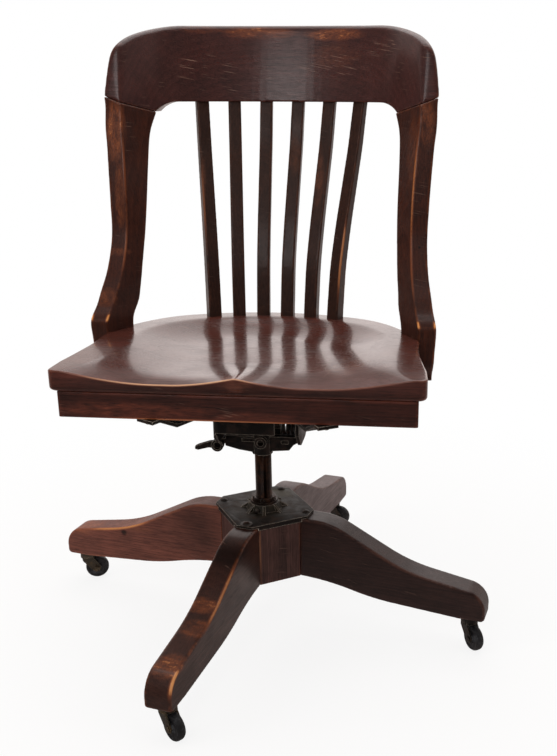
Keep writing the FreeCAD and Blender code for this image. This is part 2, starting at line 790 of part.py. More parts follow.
def slat_section(index, share, sweep):
    """One flat section of a slat at a share of its height."""
    place = index - (SLAT_COUNT - 1) / 2.0
    facing = math.copysign(SLAT_FACING[int(abs(place))], place)
    foot_x = place * SLAT_FOOT_PITCH
    foot_y = slat_foot_y(foot_x)
    turn = radians_of(place * SLAT_TURN)
    top_x = CREST_ARC_R * math.sin(turn)
    top_y = CREST_MID_Y - CREST_ARC_R * (1.0 - math.cos(turn))
    x = foot_x + (top_x - foot_x) * sweep
    y = foot_y + (top_y - foot_y) * sweep
    z = SEAT_TOP_Z + share * BACK_RISE
    taper = (SLAT_HEAD_THICK - SLAT_FOOT_THICK) * min(max(share, 0.0), 1.0)
    half_w = SLAT_WIDTH / 2.0
    half_t = (SLAT_FOOT_THICK + taper) / 2.0
    block = box(-half_w, half_w, -half_t, half_t, 0.0, SLAT_HEAD_THICK)
    block = rounded_edges(block, SLAT_EDGE_R, is_upright)
    wire = [face for face in block.Faces if face.normalAt(0, 0).z < -0.9][0].OuterWire
    wire.rotate(V(0, 0, 0), V(0, 0, 1), -facing)
    wire.translate(V(x, y, z))
    return wire


def slat(index):
    """A bent slat let into the seat at its foot and into the crest at its head."""
    lean = math.tan(radians_of(CREST_RAKE))
    last_share, last_sweep = SLAT_BEND[-1]
    depth_share = SLAT_HOUSING / BACK_RISE
    head_step = lean * SLAT_HOUSING / (CREST_MID_Y - slat_foot_y(0.0))
    rows = [(-depth_share, 0.0)]
    rows += SLAT_BEND
    rows += [(last_share + depth_share, last_sweep + head_step)]
    sections = [slat_section(index, share, sweep) for share, sweep in even_rows(rows, SLAT_SECTIONS)]
    return Part.makeLoft(sections, True, False)


def post_plugs_and_screws(posts):
    """Wood screws that hold the right post's foot to the seat and the apron, under plugs."""
    screws = []
    plugs = []
    face_turn = math.atan2(POST_FOOT_DEPTH, -POST_FOOT_TURN_IN)
    inward = V(-math.sin(face_turn), math.cos(face_turn), 0)
    middle = V(POST_FOOT_X - POST_FOOT_TURN_IN / 2.0, POST_FOOT_Y + POST_FOOT_DEPTH / 2.0, 0)
    heights = [
        SEAT_BOTTOM_Z + SEAT_THICK * POST_SCREW_HEIGHT_SHARE,
        APRON_BOTTOM_Z + APRON_HEIGHT * POST_SCREW_HEIGHT_SHARE,
    ]
    for z in heights:
        start = middle - inward * POST_SCREW_START + V(0, 0, z)
        shank = Part.makeCylinder(POST_SCREW_R, POST_SCREW_LENGTH, start, inward)
        head = Part.makeCylinder(POST_SCREW_HEAD_R, POST_SCREW_HEAD, start, inward)
        screws.append(shank.fuse(head))
        plugs.append(Part.makeCylinder(POST_PLUG_R, POST_PLUG_LENGTH, start, inward * -1.0).common(posts))
    return screws, plugs


# Base: hub, legs, plate and socket

def leg_profile_edges():
    """The side of one leg as edges in the XZ plane, with X as the radius."""
    upper = {name: V(radius, 0, HUB_TOP_Z - drop) for name, (radius, drop) in LEG_UPPER_SHAPE.items()}
    lower = {name: V(radius, 0, LEG_NOSE_BOTTOM_Z + rise)
             for name, (radius, rise) in LEG_LOWER_SHAPE.items()}
    nose = {name: V(LEG_NOSE_R - inset, 0, LEG_NOSE_TOP_Z - drop)
            for name, (inset, drop) in LEG_NOSE_SHAPE.items()}
    hub_top = V(HUB_R, 0, HUB_TOP_Z)
    hub_low = V(HUB_R, 0, HUB_BOTTOM_Z)
    nose_low = V(LEG_NOSE_R, 0, LEG_NOSE_BOTTOM_Z + LEG_NOSE_CHAMFER)
    under_tip = V(LEG_NOSE_R - LEG_NOSE_CHAMFER, 0, LEG_NOSE_BOTTOM_Z)
    under_flat = V(STEM_CIRCLE_R - SOCKET_FLANGE_R - SOCKET_FLANGE_THICK, 0, LEG_NOSE_BOTTOM_Z)
    return [
        Part.LineSegment(hub_top, upper["flat_end"]).toShape(),
        Part.Arc(upper["flat_end"], upper["bend_mid"], upper["bend_end"]).toShape(),
        Part.LineSegment(upper["bend_end"], upper["slope_end"]).toShape(),
        Part.Arc(upper["slope_end"], upper["hollow_mid"], upper["hollow_end"]).toShape(),
        Part.LineSegment(upper["hollow_end"], nose["start"]).toShape(),
        Part.Arc(nose["start"], nose["mid"], nose["end"]).toShape(),
        Part.LineSegment(nose["end"], nose_low).toShape(),
        Part.LineSegment(nose_low, under_tip).toShape(),
        Part.LineSegment(under_tip, under_flat).toShape(),
        Part.LineSegment(under_flat, lower["arch_end"]).toShape(),
        Part.Arc(lower["arch_end"], lower["arch_mid"], lower["arch_start"]).toShape(),
        Part.Arc(lower["arch_start"], lower["hub_mid"], hub_low).toShape(),
        Part.LineSegment(hub_low, hub_top).toShape(),
    ]


def leg():
    """One leg along +X, its side faces parallel to the XZ plane."""
    face = Part.Face(Part.Wire(leg_profile_edges()))
    blank = face.extrude(V(0, LEG_THICK, 0))
    blank.translate(V(0, -LEG_THICK / 2.0, 0))

    def on_rim(edge):
        box_of = edge.BoundBox
        return box_of.YLength < 0.01 and box_of.XMax > HUB_R + 0.1

    blank = rounded_edges(blank, LEG_EDGE_R, on_rim)
    hole = upright(SOCKET_R, LEG_NOSE_BOTTOM_Z - 1.0, socket_top_z(), STEM_CIRCLE_R, 0.0)
    return blank.cut(hole)


def socket_top_z():
    return LEG_NOSE_BOTTOM_Z + STEM_HEIGHT


def hub_block():
    half = LEG_THICK / 2.0
    corners = []
    for side in range(LEG_COUNT):
        corners.append(turned_point(HUB_R, -half, side * 90.0))
        corners.append(turned_point(HUB_R, half, side * 90.0))
    block = face_of(corners).extrude(V(0, 0, HUB_TOP_Z - HUB_BOTTOM_Z))
    block.translate(V(0, 0, HUB_BOTTOM_Z))
    return block.cut(upright(socket_outer_r(), HUB_BOTTOM_Z - 1.0, HUB_TOP_Z + 1.0))


def turned_point(x, y, degrees, z=0.0):
    angle = radians_of(degrees)
    return V(x * math.cos(angle) - y * math.sin(angle), x * math.sin(angle) + y * math.cos(angle), z)


def sleeve_outer_r():
    return SPINDLE_R + RUN_FIT + SLEEVE_WALL


def socket_outer_r():
    return sleeve_outer_r() + RUN_FIT + SOCKET_WALL


def dowels():
    """Two dowels from the hub into each leg, lying along the leg."""
    pegs = []
    for side in range(LEG_COUNT):
        for up in (DOWEL_UP, DOWEL_UP + DOWEL_APART):
            peg = along_x(DOWEL_R, HUB_R - DOWEL_LENGTH / 2.0 + 4.0, HUB_R + DOWEL_LENGTH / 2.0 + 4.0,
                          0.0, HUB_BOTTOM_Z + up)
            pegs.append(turned(peg, side * 90.0))
    return pegs


def plate_plan(shrink, z, height):
    corners = []
    for side in range(LEG_COUNT):
        corners.append(turned_point(PLATE_TIP_R - shrink, -PLATE_TIP_HALF, side * 90.0))
        corners.append(turned_point(PLATE_TIP_R - shrink, PLATE_TIP_HALF, side * 90.0))
    plan = face_of(corners).extrude(V(0, 0, height))
    plan.translate(V(0, 0, z))
    return plan


def base_casting():
    """The iron plate with its lip, ribbed boss and the socket tube that runs down the hub."""
    plate = plate_plan(0.0, HUB_TOP_Z, PLATE_THICK)
    lip = plate_plan(0.0, HUB_TOP_Z - PLATE_LIP_DROP, PLATE_LIP_DROP)
    shrink = PLATE_LIP_THICK * math.sqrt(2.0)
    inner = plate_plan(shrink, HUB_TOP_Z - PLATE_LIP_DROP - 1.0, PLATE_LIP_DROP + 1.0)
    lip = lip.cut(inner)
    clear = LEG_THICK / 2.0 + BODY_GAP
    cross = box(-100.0, 100.0, -clear, clear, HUB_TOP_Z - PLATE_LIP_DROP - 1.0, HUB_TOP_Z)
    lip = lip.cut(cross).cut(turned(cross, 90.0))
    boss = Part.makeCone(PLATE_BOSS_FOOT_R, PLATE_BOSS_TOP_R, PLATE_BOSS_HEIGHT, V(0, 0, PLATE_TOP_Z))
    casting = plate.fuse([lip, boss])
    for rib in range(PLATE_RIB_COUNT):
        fin = face_of([
            V(0, 0, PLATE_TOP_Z),
            V(PLATE_RIB_REACH, 0, PLATE_TOP_Z),
            V(PLATE_BOSS_TOP_R + 1.0, 0, BOSS_TOP_Z - 1.0),
            V(0, 0, BOSS_TOP_Z - 1.0),
        ]).extrude(V(0, PLATE_RIB_THICK, 0))
        fin.translate(V(0, -PLATE_RIB_THICK / 2.0, 0))
        casting = casting.fuse(turned(fin, (rib + 0.5) * 360.0 / PLATE_RIB_COUNT))
    casting = casting.fuse(upright(socket_outer_r(), HUB_BOTTOM_Z, PLATE_TOP_Z))
    casting = casting.cut(upright(sleeve_outer_r() + RUN_FIT, HUB_BOTTOM_Z - 1.0, BOSS_TOP_Z + 1.0))
    for side in range(LEG_COUNT):
        spot = turned_point(PLATE_SCREW_R, 0, side * 90.0)
        casting = casting.cut(upright(SCREW_SHANK_R, HUB_TOP_Z - 1.0, PLATE_TOP_Z + 1.0, spot.x, spot.y))
    return casting.removeSplitter()


def swivel_sleeve():
    """The tube that turns in the socket and carries the nut, keyed to the spindle."""
    outer = sleeve_outer_r()
    bore = SPINDLE_R + RUN_FIT
    tube = upright(outer, HUB_BOTTOM_Z + 2.0, BOSS_TOP_Z + SLEEVE_COLLAR_THICK)
    tube = tube.fuse(upright(SLEEVE_COLLAR_R, BOSS_TOP_Z, BOSS_TOP_Z + SLEEVE_COLLAR_THICK))
    tube = tube.cut(upright(bore, HUB_BOTTOM_Z, NUT_BOTTOM_Z + 1.0))
    half = KEYWAY_WIDTH / 2.0 - RUN_FIT
    reach = SPINDLE_R - KEYWAY_DEPTH + 2.0 * RUN_FIT
    key = box(reach, bore + SLEEVE_WALL / 2.0, -half, half, BOSS_TOP_Z - 22.0, BOSS_TOP_Z - 4.0)
    return tube.fuse(turned(key, KEYWAY_TURN))


def spindle():
    top = PIVOT_Z - YOKE_BARREL_R - 2.0
    rod = upright(SPINDLE_R, SPINDLE_TAIL_Z, top)
    rod = rounded_edges(rod, 1.5, lambda edge: edge.BoundBox.ZMax < SPINDLE_TAIL_Z + 0.1)
    slot = box(SPINDLE_R - KEYWAY_DEPTH, SPINDLE_R + 2.0, -KEYWAY_WIDTH / 2.0, KEYWAY_WIDTH / 2.0,
               SPINDLE_TAIL_Z - 1.0, NECK_Z - 9.0)
    return rod.cut(turned(slot, KEYWAY_TURN))


def height_nut():
    ring = upright(NUT_R, NUT_BOTTOM_Z, NUT_TOP_Z)
    ring = rounded_edges(ring, 1.0, lambda edge: edge.BoundBox.ZLength < 0.01)
    ring = ring.cut(upright(SPINDLE_R + RUN_FIT, NUT_BOTTOM_Z - 1.0, NUT_TOP_Z + 1.0))
    for notch in range(NUT_NOTCH_COUNT):
        spot = polar(NUT_R, (notch + 0.5) * 360.0 / NUT_NOTCH_COUNT)
        ring = ring.cut(upright(NUT_NOTCH_R, NUT_BOTTOM_Z - 1.0, NUT_TOP_Z + 1.0, spot.x, spot.y))
    return ring


# Tilting mechanism

def yoke_wing_top():
    return PIVOT_Z - SPRING_COIL_R - SPRING_WIRE / 2.0 - BODY_GAP


def tilt_yoke():
    """The casting on the spindle's head: neck, web with wings, shaft barrel, boss and lever eye."""
    front = YOKE_FRONT_Y
    wing_top = yoke_wing_top()
    eye_z = PIVOT_Z - YOKE_EYE_DROP
    ear_top = PIVOT_Z - HOUSING_CHEEK_R - YOKE_EAR_CLEARANCE
    ear_end = YOKE_EYE_X - 2.0
    half = YOKE_WING_HALF
    neck = YOKE_NECK_R
    slant = 2.0
    left_line = [V(x, front, wing_top - drop) for x, drop in YOKE_WEB_LEFT]
    right_line = [V(x, front, wing_top - drop) for x, drop in YOKE_WEB_RIGHT]
    web = face_of([
        V(-half, front, wing_top),
        V(-half, front, ear_top),
        V(ear_end, front, ear_top),
        V(ear_end, front, ear_top - YOKE_EAR_THICK),
        V(-half - 1.0, front, ear_top - YOKE_EAR_THICK),
        V(-half, front, ear_top - YOKE_EAR_FALL),
    ] + left_line + [
        V(-neck, front, NECK_Z + YOKE_NECK_DROP - slant),
        V(-neck + slant, front, NECK_Z - YOKE_NECK_DROP),
        V(neck - slant, front, NECK_Z - YOKE_NECK_DROP),
        V(neck, front, NECK_Z + YOKE_NECK_DROP),
    ] + right_line + [
        V(half, front, wing_top),
    ]).extrude(V(0, YOKE_THICK, 0))
    ledge = box(-half, half, front, PIVOT_Y + SPRING_LEG + 4.0, wing_top - YOKE_LEDGE_THICK, wing_top)
    hub = upright(neck, NECK_Z - YOKE_NECK_DROP, wing_top + 4.0)
    stalk = box(-YOKE_BARREL_HALF, YOKE_BARREL_HALF, PIVOT_Y - YOKE_STALK_HALF, PIVOT_Y + YOKE_STALK_HALF,
                wing_top - 5.0, PIVOT_Z)
    barrel = along_x(YOKE_BARREL_R, -YOKE_BARREL_HALF, YOKE_BARREL_HALF, PIVOT_Y, PIVOT_Z)
    eye = along_y(YOKE_EYE_R, front, front + YOKE_THICK, YOKE_EYE_X, eye_z)
    boss_z = PIVOT_Z - YOKE_BOSS_DROP
    boss = along_y(YOKE_BOSS_R, boss_face_y(), 0.0, 0.0, boss_z)
    yoke = web.fuse([ledge, hub, stalk, barrel, eye, boss])
    yoke = yoke.cut(along_x(SHAFT_R + RUN_FIT, -half - 1.0, half + 1.0, PIVOT_Y, PIVOT_Z))
    yoke = yoke.cut(along_y(YOKE_EYE_BORE_R + RUN_FIT, front, front + YOKE_THICK + 1.0, YOKE_EYE_X, eye_z))
    yoke = yoke.cut(along_y(YOKE_EYE_BORE_R, boss_face_y() - 1.0, 0.0, 0.0, boss_z))
    yoke = yoke.cut(spindle())
    for x0, x1, drop in YOKE_SLOTS:
        low = wing_top - drop
        yoke = yoke.cut(box(x0, x1, front - 1.0, front + YOKE_SLOT_DEPTH, low, low + YOKE_SLOT_HEIGHT))
    return yoke.removeSplitter()


def boss_face_y():
    return -YOKE_NECK_R - YOKE_BOSS_OUT + 2.0


def spindle_lock_screw():
    """The slotted screw in the yoke's front boss that bears on the spindle."""
    boss_z = PIVOT_Z - YOKE_BOSS_DROP
    head_y = boss_face_y() + LOCK_SCREW_SUNK
    half_slot = LOCK_SCREW_SLOT / 2.0
    screw = along_y(YOKE_EYE_BORE_R, head_y, -SPINDLE_R, 0.0, boss_z)
    screw = screw.cut(spindle())
    wide = YOKE_EYE_BORE_R + 1.0
    return screw.cut(box(-wide, wide, head_y - 1.0, head_y + 1.5, boss_z - half_slot, boss_z + half_slot))


def tilt_lock_lever():
    """The small finger lever on the yoke's left eye, with its hollow hub and stub shaft."""
    eye_z = PIVOT_Z - YOKE_EYE_DROP
    back = YOKE_FRONT_Y - BODY_GAP
    front = back - LEVER_HUB_LONG
    hub = along_y(LEVER_HUB_R, front, back, YOKE_EYE_X, eye_z)
    stub_end = YOKE_FRONT_Y + YOKE_THICK
    stub = along_y(YOKE_EYE_BORE_R, front + LEVER_HUB_HOLLOW / 2.0, stub_end, YOKE_EYE_X, eye_z)
    outline = LEVER_TOP + LEVER_TIP + LEVER_UNDERSIDE
    finger = face_of([V(YOKE_EYE_X - out, 0, eye_z + up) for out, up in outline])
    finger = finger.extrude(V(0, LEVER_THICK, 0))
    finger.translate(V(0, front + 2.0, 0))
    lever = hub.fuse([finger, stub])
    return lever.cut(along_y(LEVER_HUB_BORE_R, front - 1.0, front + LEVER_HUB_HOLLOW, YOKE_EYE_X, eye_z))


def tilt_housing():
    """The casting fixed under the seat: top, front shield, rear wall and two shaft cheeks."""
    half = HOUSING_HALF_WIDTH
    wall = HOUSING_WALL
    top_z = ARM_BOTTOM_Z
    front = HOUSING_FRONT_Y
    rear = HOUSING_REAR_Y
    cheek_low = PIVOT_Z - HOUSING_CHEEK_R
    cheek = face_of([
        V(half - wall, front, top_z),
        V(half - wall, front, PIVOT_Z - HOUSING_FRONT_DROP),
        V(half - wall, front + HOUSING_CHEEK_FRONT, cheek_low + 2.0),
        V(half - wall, PIVOT_Y, cheek_low),
        V(half - wall, PIVOT_Y + HOUSING_CHEEK_R, PIVOT_Z),
        V(half - wall, rear, PIVOT_Z + HOUSING_REAR_RISE),
        V(half - wall, rear, top_z),
    ]).extrude(V(wall, 0, 0))
    cheek = cheek.fuse(along_x(HOUSING_CHEEK_R, half - wall, half, PIVOT_Y, PIVOT_Z))
    body = box(-half, half, front, rear, top_z - wall, top_z)
    shield = box(-half, HOUSING_SHIELD_END_X, front, front + wall, PIVOT_Z - HOUSING_FRONT_DROP, top_z)
    rear_wall = box(-half, half, rear - wall, rear, PIVOT_Z + HOUSING_REAR_RISE, top_z)
    stop_low = PIVOT_Z + SPRING_COIL_R + SPRING_WIRE / 2.0 + BODY_GAP
    stop_y = PIVOT_Y + SPRING_LEG - HOUSING_STOP_BACK
    stop = box(-half, half, stop_y - HOUSING_STOP_HALF, stop_y + HOUSING_STOP_HALF, stop_low, top_z)
    housing = body.fuse([cheek, mirrored(cheek), shield, rear_wall, stop])
    outline = box(-half, half, front, rear, cheek_low - 1.0, top_z)
    outline = rounded_edges(
        outline, HOUSING_CORNER_R,
        lambda edge: edge.BoundBox.XMax < -half + 0.1 and edge.BoundBox.YMax < front + 0.1)
    housing = housing.common(outline)
    housing = housing.cut(along_x(SHAFT_R, -half - 1.0, half + 1.0, PIVOT_Y, PIVOT_Z))
    for x, y in arm_bolt_spots():
        housing = housing.cut(upright(BOLT_R, top_z - wall - 1.0, top_z + 1.0, x, y))
    return housing.removeSplitter()


def tilt_shaft():
    reach = HOUSING_HALF_WIDTH + SHAFT_NUT_THICK + 2.0
    rod = along_x(SHAFT_R, -reach, reach, PIVOT_Y, PIVOT_Z)
    return rounded_edges(rod, 1.0, lambda edge: edge.BoundBox.XLength < 0.01)


def hexagon(across_r, thick):
    points = [V(0, across_r * math.cos(radians_of(60.0 * k)), across_r * math.sin(radians_of(60.0 * k)))
              for k in range(6)]
    return face_of(points).extrude(V(thick, 0, 0))


def shaft_nuts():
    nut = hexagon(SHAFT_NUT_R, SHAFT_NUT_THICK)
    nut.translate(V(HOUSING_HALF_WIDTH, PIVOT_Y, PIVOT_Z))
    nut = nut.cut(along_x(SHAFT_R, HOUSING_HALF_WIDTH - 1.0, HOUSING_HALF_WIDTH + 20.0, PIVOT_Y, PIVOT_Z))
    return Part.makeCompound([nut, mirrored(nut)])


def tangent_arc(start, tangent, end):
    """An arc that leaves the start along the tangent and passes the end."""
    chord = end - start
    half = chord.Length / 2.0
    lean = chord.getAngle(tangent)
    corner = start + tangent * (half / math.cos(lean))
    middle = (start + end) * 0.5
    rise = (corner - middle).normalize() * (half * math.tan(lean / 2.0))
    return Part.Arc(start, middle + rise, end).toShape()


def biarc(start, start_way, end, end_way):
    """Two arcs that join two points of a coil and keep its direction at both."""
    gap = end - start
    ways = start_way + end_way
    bend = 2.0 * (1.0 - start_way.dot(end_way))
    along = gap.dot(ways)
    reach = (-along + math.sqrt(along * along + bend * gap.dot(gap))) / bend
    joint = (start + start_way * reach + end - end_way * reach) * 0.5
    second = tangent_arc(end, end_way * -1.0, joint)
    return [tangent_arc(start, start_way, joint), second]


def spring_path():
    """The right spring's centre line: a straight leg, the coil in quarter turns, a straight leg."""
    steps = int(round(SPRING_TURNS * 4.0))
    points = []
    ways = []
    for step in range(steps + 1):
        angle = -math.pi / 2.0 - step * math.pi / 2.0
        x = SPRING_START_X + SPRING_PITCH * step / 4.0
        y = PIVOT_Y + SPRING_COIL_R * math.cos(angle)
        z = PIVOT_Z + SPRING_COIL_R * math.sin(angle)
        points.append(V(x, y, z))
        climb = SPRING_PITCH / (2.0 * math.pi * SPRING_COIL_R)
        if step in (0, steps):
            climb = 0.0
        way = V(climb, math.sin(angle), -math.cos(angle))
        ways.append(way.normalize())
    edges = [Part.LineSegment(points[0] - ways[0] * SPRING_LEG, points[0]).toShape()]
    for step in range(steps):
        edges += biarc(points[step], ways[step], points[step + 1], ways[step + 1])
    edges.append(Part.LineSegment(points[-1], points[-1] + ways[-1] * SPRING_LEG).toShape())
    return edges


def least_coil_gap(edges):
    """The least space between the wire and itself, measured on points along it."""
    points = []
    lengths = []
    run = 0.0
    for edge in edges:
        count = 12
        for point in edge.discretize(count + 1)[:-1]:
            points.append(point)
            lengths.append(run + (point - edge.discretize(2)[0]).Length)
        run += edge.Length
    apart = math.pi * SPRING_COIL_R
    least = 1000.0
    for first in range(len(points)):
        for second in range(first + 1, len(points)):
            if lengths[second] - lengths[first] > apart:
                least = min(least, (points[first] - points[second]).Length)
    return least - SPRING_WIRE


def torsion_spring():
    edges = spring_path()
    print("least gap between spring turns:", round(least_coil_gap(edges), 2))
    path = Part.Wire(edges)
    start = edges[0].valueAt(edges[0].FirstParameter)
    way = edges[0].tangentAt(edges[0].FirstParameter)
    ring = Part.Wire(Part.makeCircle(SPRING_WIRE / 2.0, start, way))
    return path.makePipeShell([ring], True, False)


# Arms under the seat

def arm_bolt_spots():
    return [(x, y) for x in (-ARM_X, ARM_X) for y in (-ARM_BOLT_Y, ARM_BOLT_Y)]


def arm_limb(flat):
    """One splayed limb of an arm from its elbow, lying along +X before it is turned."""
    low = ARM_BOTTOM_Z
    thick = ARM_THICK
    rise = ARM_RISE
    lean = math.atan2(ARM_RISE, ARM_RISE_RUN)
    shift = thick * math.tan(lean / 2.0)
    end = flat + ARM_RISE_RUN + ARM_PAD_LENGTH
    side = face_of([
        V(0, -ARM_WIDTH / 2.0, low),
        V(flat, -ARM_WIDTH / 2.0, low),
        V(flat + ARM_RISE_RUN, -ARM_WIDTH / 2.0, low + rise),
        V(end, -ARM_WIDTH / 2.0, low + rise),
        V(end, -ARM_WIDTH / 2.0, low + rise + thick),
        V(flat + ARM_RISE_RUN - shift, -ARM_WIDTH / 2.0, low + rise + thick),
        V(flat - shift, -ARM_WIDTH / 2.0, low + thick),
        V(0, -ARM_WIDTH / 2.0, low + thick),
    ])
    return side.extrude(V(0, ARM_WIDTH, 0))


def arm_pad_spot(flat):
    """Distance from the elbow to the middle of a limb's pad."""
    return flat + ARM_RISE_RUN + ARM_PAD_LENGTH / 2.0


def seat_arm():
    """The right iron arm: a flat middle on the housing and two splayed limbs to the apron."""
    low = ARM_BOTTOM_Z
    half = ARM_WIDTH / 2.0
    arm = box(ARM_X - half, ARM_X + half, -ARM_ELBOW_Y, ARM_ELBOW_Y, low, low + ARM_THICK)
    for flat, direction, elbow in ((ARM_FRONT_FLAT, -90.0 + ARM_SPLAY, -ARM_ELBOW_Y),
                                   (ARM_REAR_FLAT, 90.0 - ARM_SPLAY, ARM_ELBOW_Y)):
        limb = moved(turned(arm_limb(flat), direction), ARM_X, elbow, 0.0)
        knuckle = upright(half, low, low + ARM_THICK, ARM_X, elbow)
        arm = arm.fuse([limb, knuckle])
    for x, y in arm_bolt_spots():
        arm = arm.cut(upright(BOLT_R, low - 1.0, low + ARM_THICK + 1.0, x, y))
    for spot in arm_screw_spots():
        arm = arm.cut(upright(SCREW_SHANK_R, low, APRON_BOTTOM_Z + 1.0, spot.x, spot.y))
    return arm.removeSplitter()


def arm_screw_spots():
    spots = []
    for flat, direction, elbow in ((ARM_FRONT_FLAT, -90.0 + ARM_SPLAY, -ARM_ELBOW_Y),
                                   (ARM_REAR_FLAT, 90.0 - ARM_SPLAY, ARM_ELBOW_Y)):
        spots.append(V(ARM_X, elbow, 0) + polar(arm_pad_spot(flat), direction))
    return spots


def seat_arm_screws():
    """Round-headed screws through the arms' pads into the apron."""
    screws = []
    pad_z = ARM_BOTTOM_Z + ARM_RISE
    for spot in arm_screw_spots():
        shank = upright(SCREW_SHANK_R, pad_z, APRON_BOTTOM_Z + 24.0, spot.x, spot.y)
        screw = shank.fuse(dome(SCREW_HEAD_R - 0.5, SCREW_HEAD_HEIGHT, spot.x, spot.y, pad_z, -1.0))
        screws += [screw, mirrored(screw)]
    return screws


def housing_bolts():
    """Bolts that hold the arms on the housing's top."""
    bolts = []
    top = ARM_BOTTOM_Z + ARM_THICK
    for x, y in arm_bolt_spots():
        shank = upright(BOLT_R, ARM_BOTTOM_Z - HOUSING_WALL, top, x, y)
        bolts.append(shank.fuse(dome(BOLT_HEAD_R, BOLT_HEAD_HEIGHT, x, y, top)))
    return bolts


# Casters

def caster_solids(stem, trail_angle):
    """The horn, stem, wheel and axle of one caster as they stand."""
    crown_top = LEG_NOSE_BOTTOM_Z - SOCKET_FLANGE_THICK - BODY_GAP
    inner_half = WHEEL_WIDTH / 2.0 + WHEEL_HUB_OUT + BODY_GAP
    outer_half = inner_half + HORN_THICK
    trail = CASTER_TRAIL
    axle_z = WHEEL_R
    crown_low = WHEEL_R * 2.0 + HORN_HEAD_OVER_WHEEL
    neck = upright(HORN_CROWN_R, crown_low, crown_top)
    cheek = [V(trail + back, 0, axle_z + up) for back, up in HORN_CHEEK]
    blank = face_of([
        V(-HORN_CROWN_R + 1.5, 0, crown_top - 1.0),
        V(-HORN_CROWN_R + 3.0, 0, crown_low - 4.0),
    ] + cheek + [
        V(HORN_CROWN_R - 4.0, 0, crown_low - 2.0),
        V(HORN_CROWN_R - 1.5, 0, crown_top - 1.0),
    ]).extrude(V(0, 2.0 * outer_half, 0))
    blank.translate(V(0, -outer_half, 0))
    blank = rounded_edges(
        blank, HORN_EDGE_R,
        lambda edge: edge.BoundBox.YLength > outer_half and edge.BoundBox.ZMax < crown_low - 5.0)
    slot = box(-40.0, 60.0, -inner_half, inner_half, 0.0, crown_low)
    round_over = upright(HORN_CROWN_R, 0.0, crown_top).fuse(
        box(0.0, 60.0, -outer_half, outer_half, 0.0, crown_low + 0.5))
    horn = blank.cut(slot).common(round_over).fuse(neck.cut(box(-40, 60, -40, 40, 0, crown_low)))
    horn = horn.cut(along_y(AXLE_R, -30.0, 30.0, trail, axle_z))
    horn = horn.cut(upright(STEM_R, crown_low - 1.0, crown_top + 1.0))
    pin_top = crown_top + STEM_HEIGHT - STEM_SHORT_OF_SOCKET
    pin = upright(STEM_R, crown_low, pin_top)
    pin = rounded_edges(pin, STEM_TIP_R, lambda edge: edge.BoundBox.ZMin > pin_top - 0.1)
    half = WHEEL_WIDTH / 2.0
    rim = WHEEL_RIM_R
    one_side = [
        (AXLE_R + RUN_FIT, half + WHEEL_HUB_OUT),
        (WHEEL_HUB_R, half + WHEEL_HUB_OUT),
        (WHEEL_HUB_R + 1.0, half - WHEEL_DISH),
        (WHEEL_R - WHEEL_RIM_WIDE, half - WHEEL_DISH),
        (WHEEL_R - WHEEL_RIM_WIDE + 1.0, half),
        (WHEEL_R - rim, half),
        (WHEEL_R - rim / 4.0, half - rim),
        (WHEEL_R, half - 2.0 * rim),
    ]
    section = [V(radius, -out, 0) for radius, out in one_side]
    section += [V(radius, out, 0) for radius, out in reversed(one_side)]
    wheel = face_of(section).revolve(V(0, 0, 0), V(0, 1, 0), 360.0)
    wheel.translate(V(trail, 0, axle_z))
    pin_half = outer_half + AXLE_HEAD_THICK
    axle = along_y(AXLE_R, -pin_half + 1.0, pin_half - 1.0, trail, axle_z)
    for start in (-pin_half, outer_half):
        axle = axle.fuse(along_y(AXLE_R + AXLE_HEAD_OVER, start, start + AXLE_HEAD_THICK, trail, axle_z))
    solids = {"horn": horn, "stem": pin, "wheel": wheel, "axle": axle}
    placed = {}
    for name, solid in solids.items():
        placed[name] = moved(turned(solid, trail_angle), stem.x, stem.y, 0.0)
    return placed


def caster_sockets():
    """The steel sockets in the leg ends, each with its flange against the wood."""
    sockets = []
    low = LEG_NOSE_BOTTOM_Z
    for side in range(LEG_COUNT):
        spot = turned_point(STEM_CIRCLE_R, 0, side * 90.0)
        tube = upright(SOCKET_R, low, socket_top_z(), spot.x, spot.y)
        flange = upright(SOCKET_FLANGE_R, low - SOCKET_FLANGE_THICK, low, spot.x, spot.y)
        socket = tube.fuse(flange)
        bore_top = socket_top_z() - 1.5
        sockets.append(socket.cut(upright(STEM_R + RUN_FIT, low - 5.0, bore_top, spot.x, spot.y)))
    return sockets


# Building and exporting

def build_seat_body():
    right_post = back_post()
    left_post = mirrored(right_post)
    board = seat_board().cut(right_post).cut(left_post)
    rails = apron_rails([right_post, left_post])
    crest = crest_rail()
    slats = [slat(index) for index in range(SLAT_COUNT)]
    for one in slats:
        board = board.cut(one)
        crest = crest.cut(one)
    screws, plugs = post_plugs_and_screws(right_post)
    for screw in screws:
        right_post = right_post.cut(screw)
        board = board.cut(screw).cut(mirrored(screw))
        rails["apron_right"] = rails["apron_right"].cut(screw)
        rails["apron_left"] = rails["apron_left"].cut(mirrored(screw))
    for plug in plugs:
        right_post = right_post.cut(plug)
    left_post = mirrored(right_post)
    arm_screws = seat_arm_screws()
    for screw in arm_screws:
        rails["apron_front"] = rails["apron_front"].cut(screw)
        rails["apron_rear"] = rails["apron_rear"].cut(screw)
    export("seat_board", board)
    export("crest_rail", crest)
    export("back_post_right", right_post)
    export("back_post_left", left_post)
    for index, one in enumerate(slats):
        export("slat_" + str(index + 1), one)
    for name, rail in rails.items():
        export(name, rail)
    export("post_screws", Part.makeCompound(screws + [mirrored(screw) for screw in screws]))
    export("post_plugs", Part.makeCompound(plugs + [mirrored(plug) for plug in plugs]))
    arm = seat_arm()
    export("seat_arm_right", arm)
    export("seat_arm_left", mirrored(arm))
    export("seat_arm_screws", Part.makeCompound(arm_screws))
    export("tilt_housing", tilt_housing())
    export("housing_bolts", Part.makeCompound(housing_bolts()))


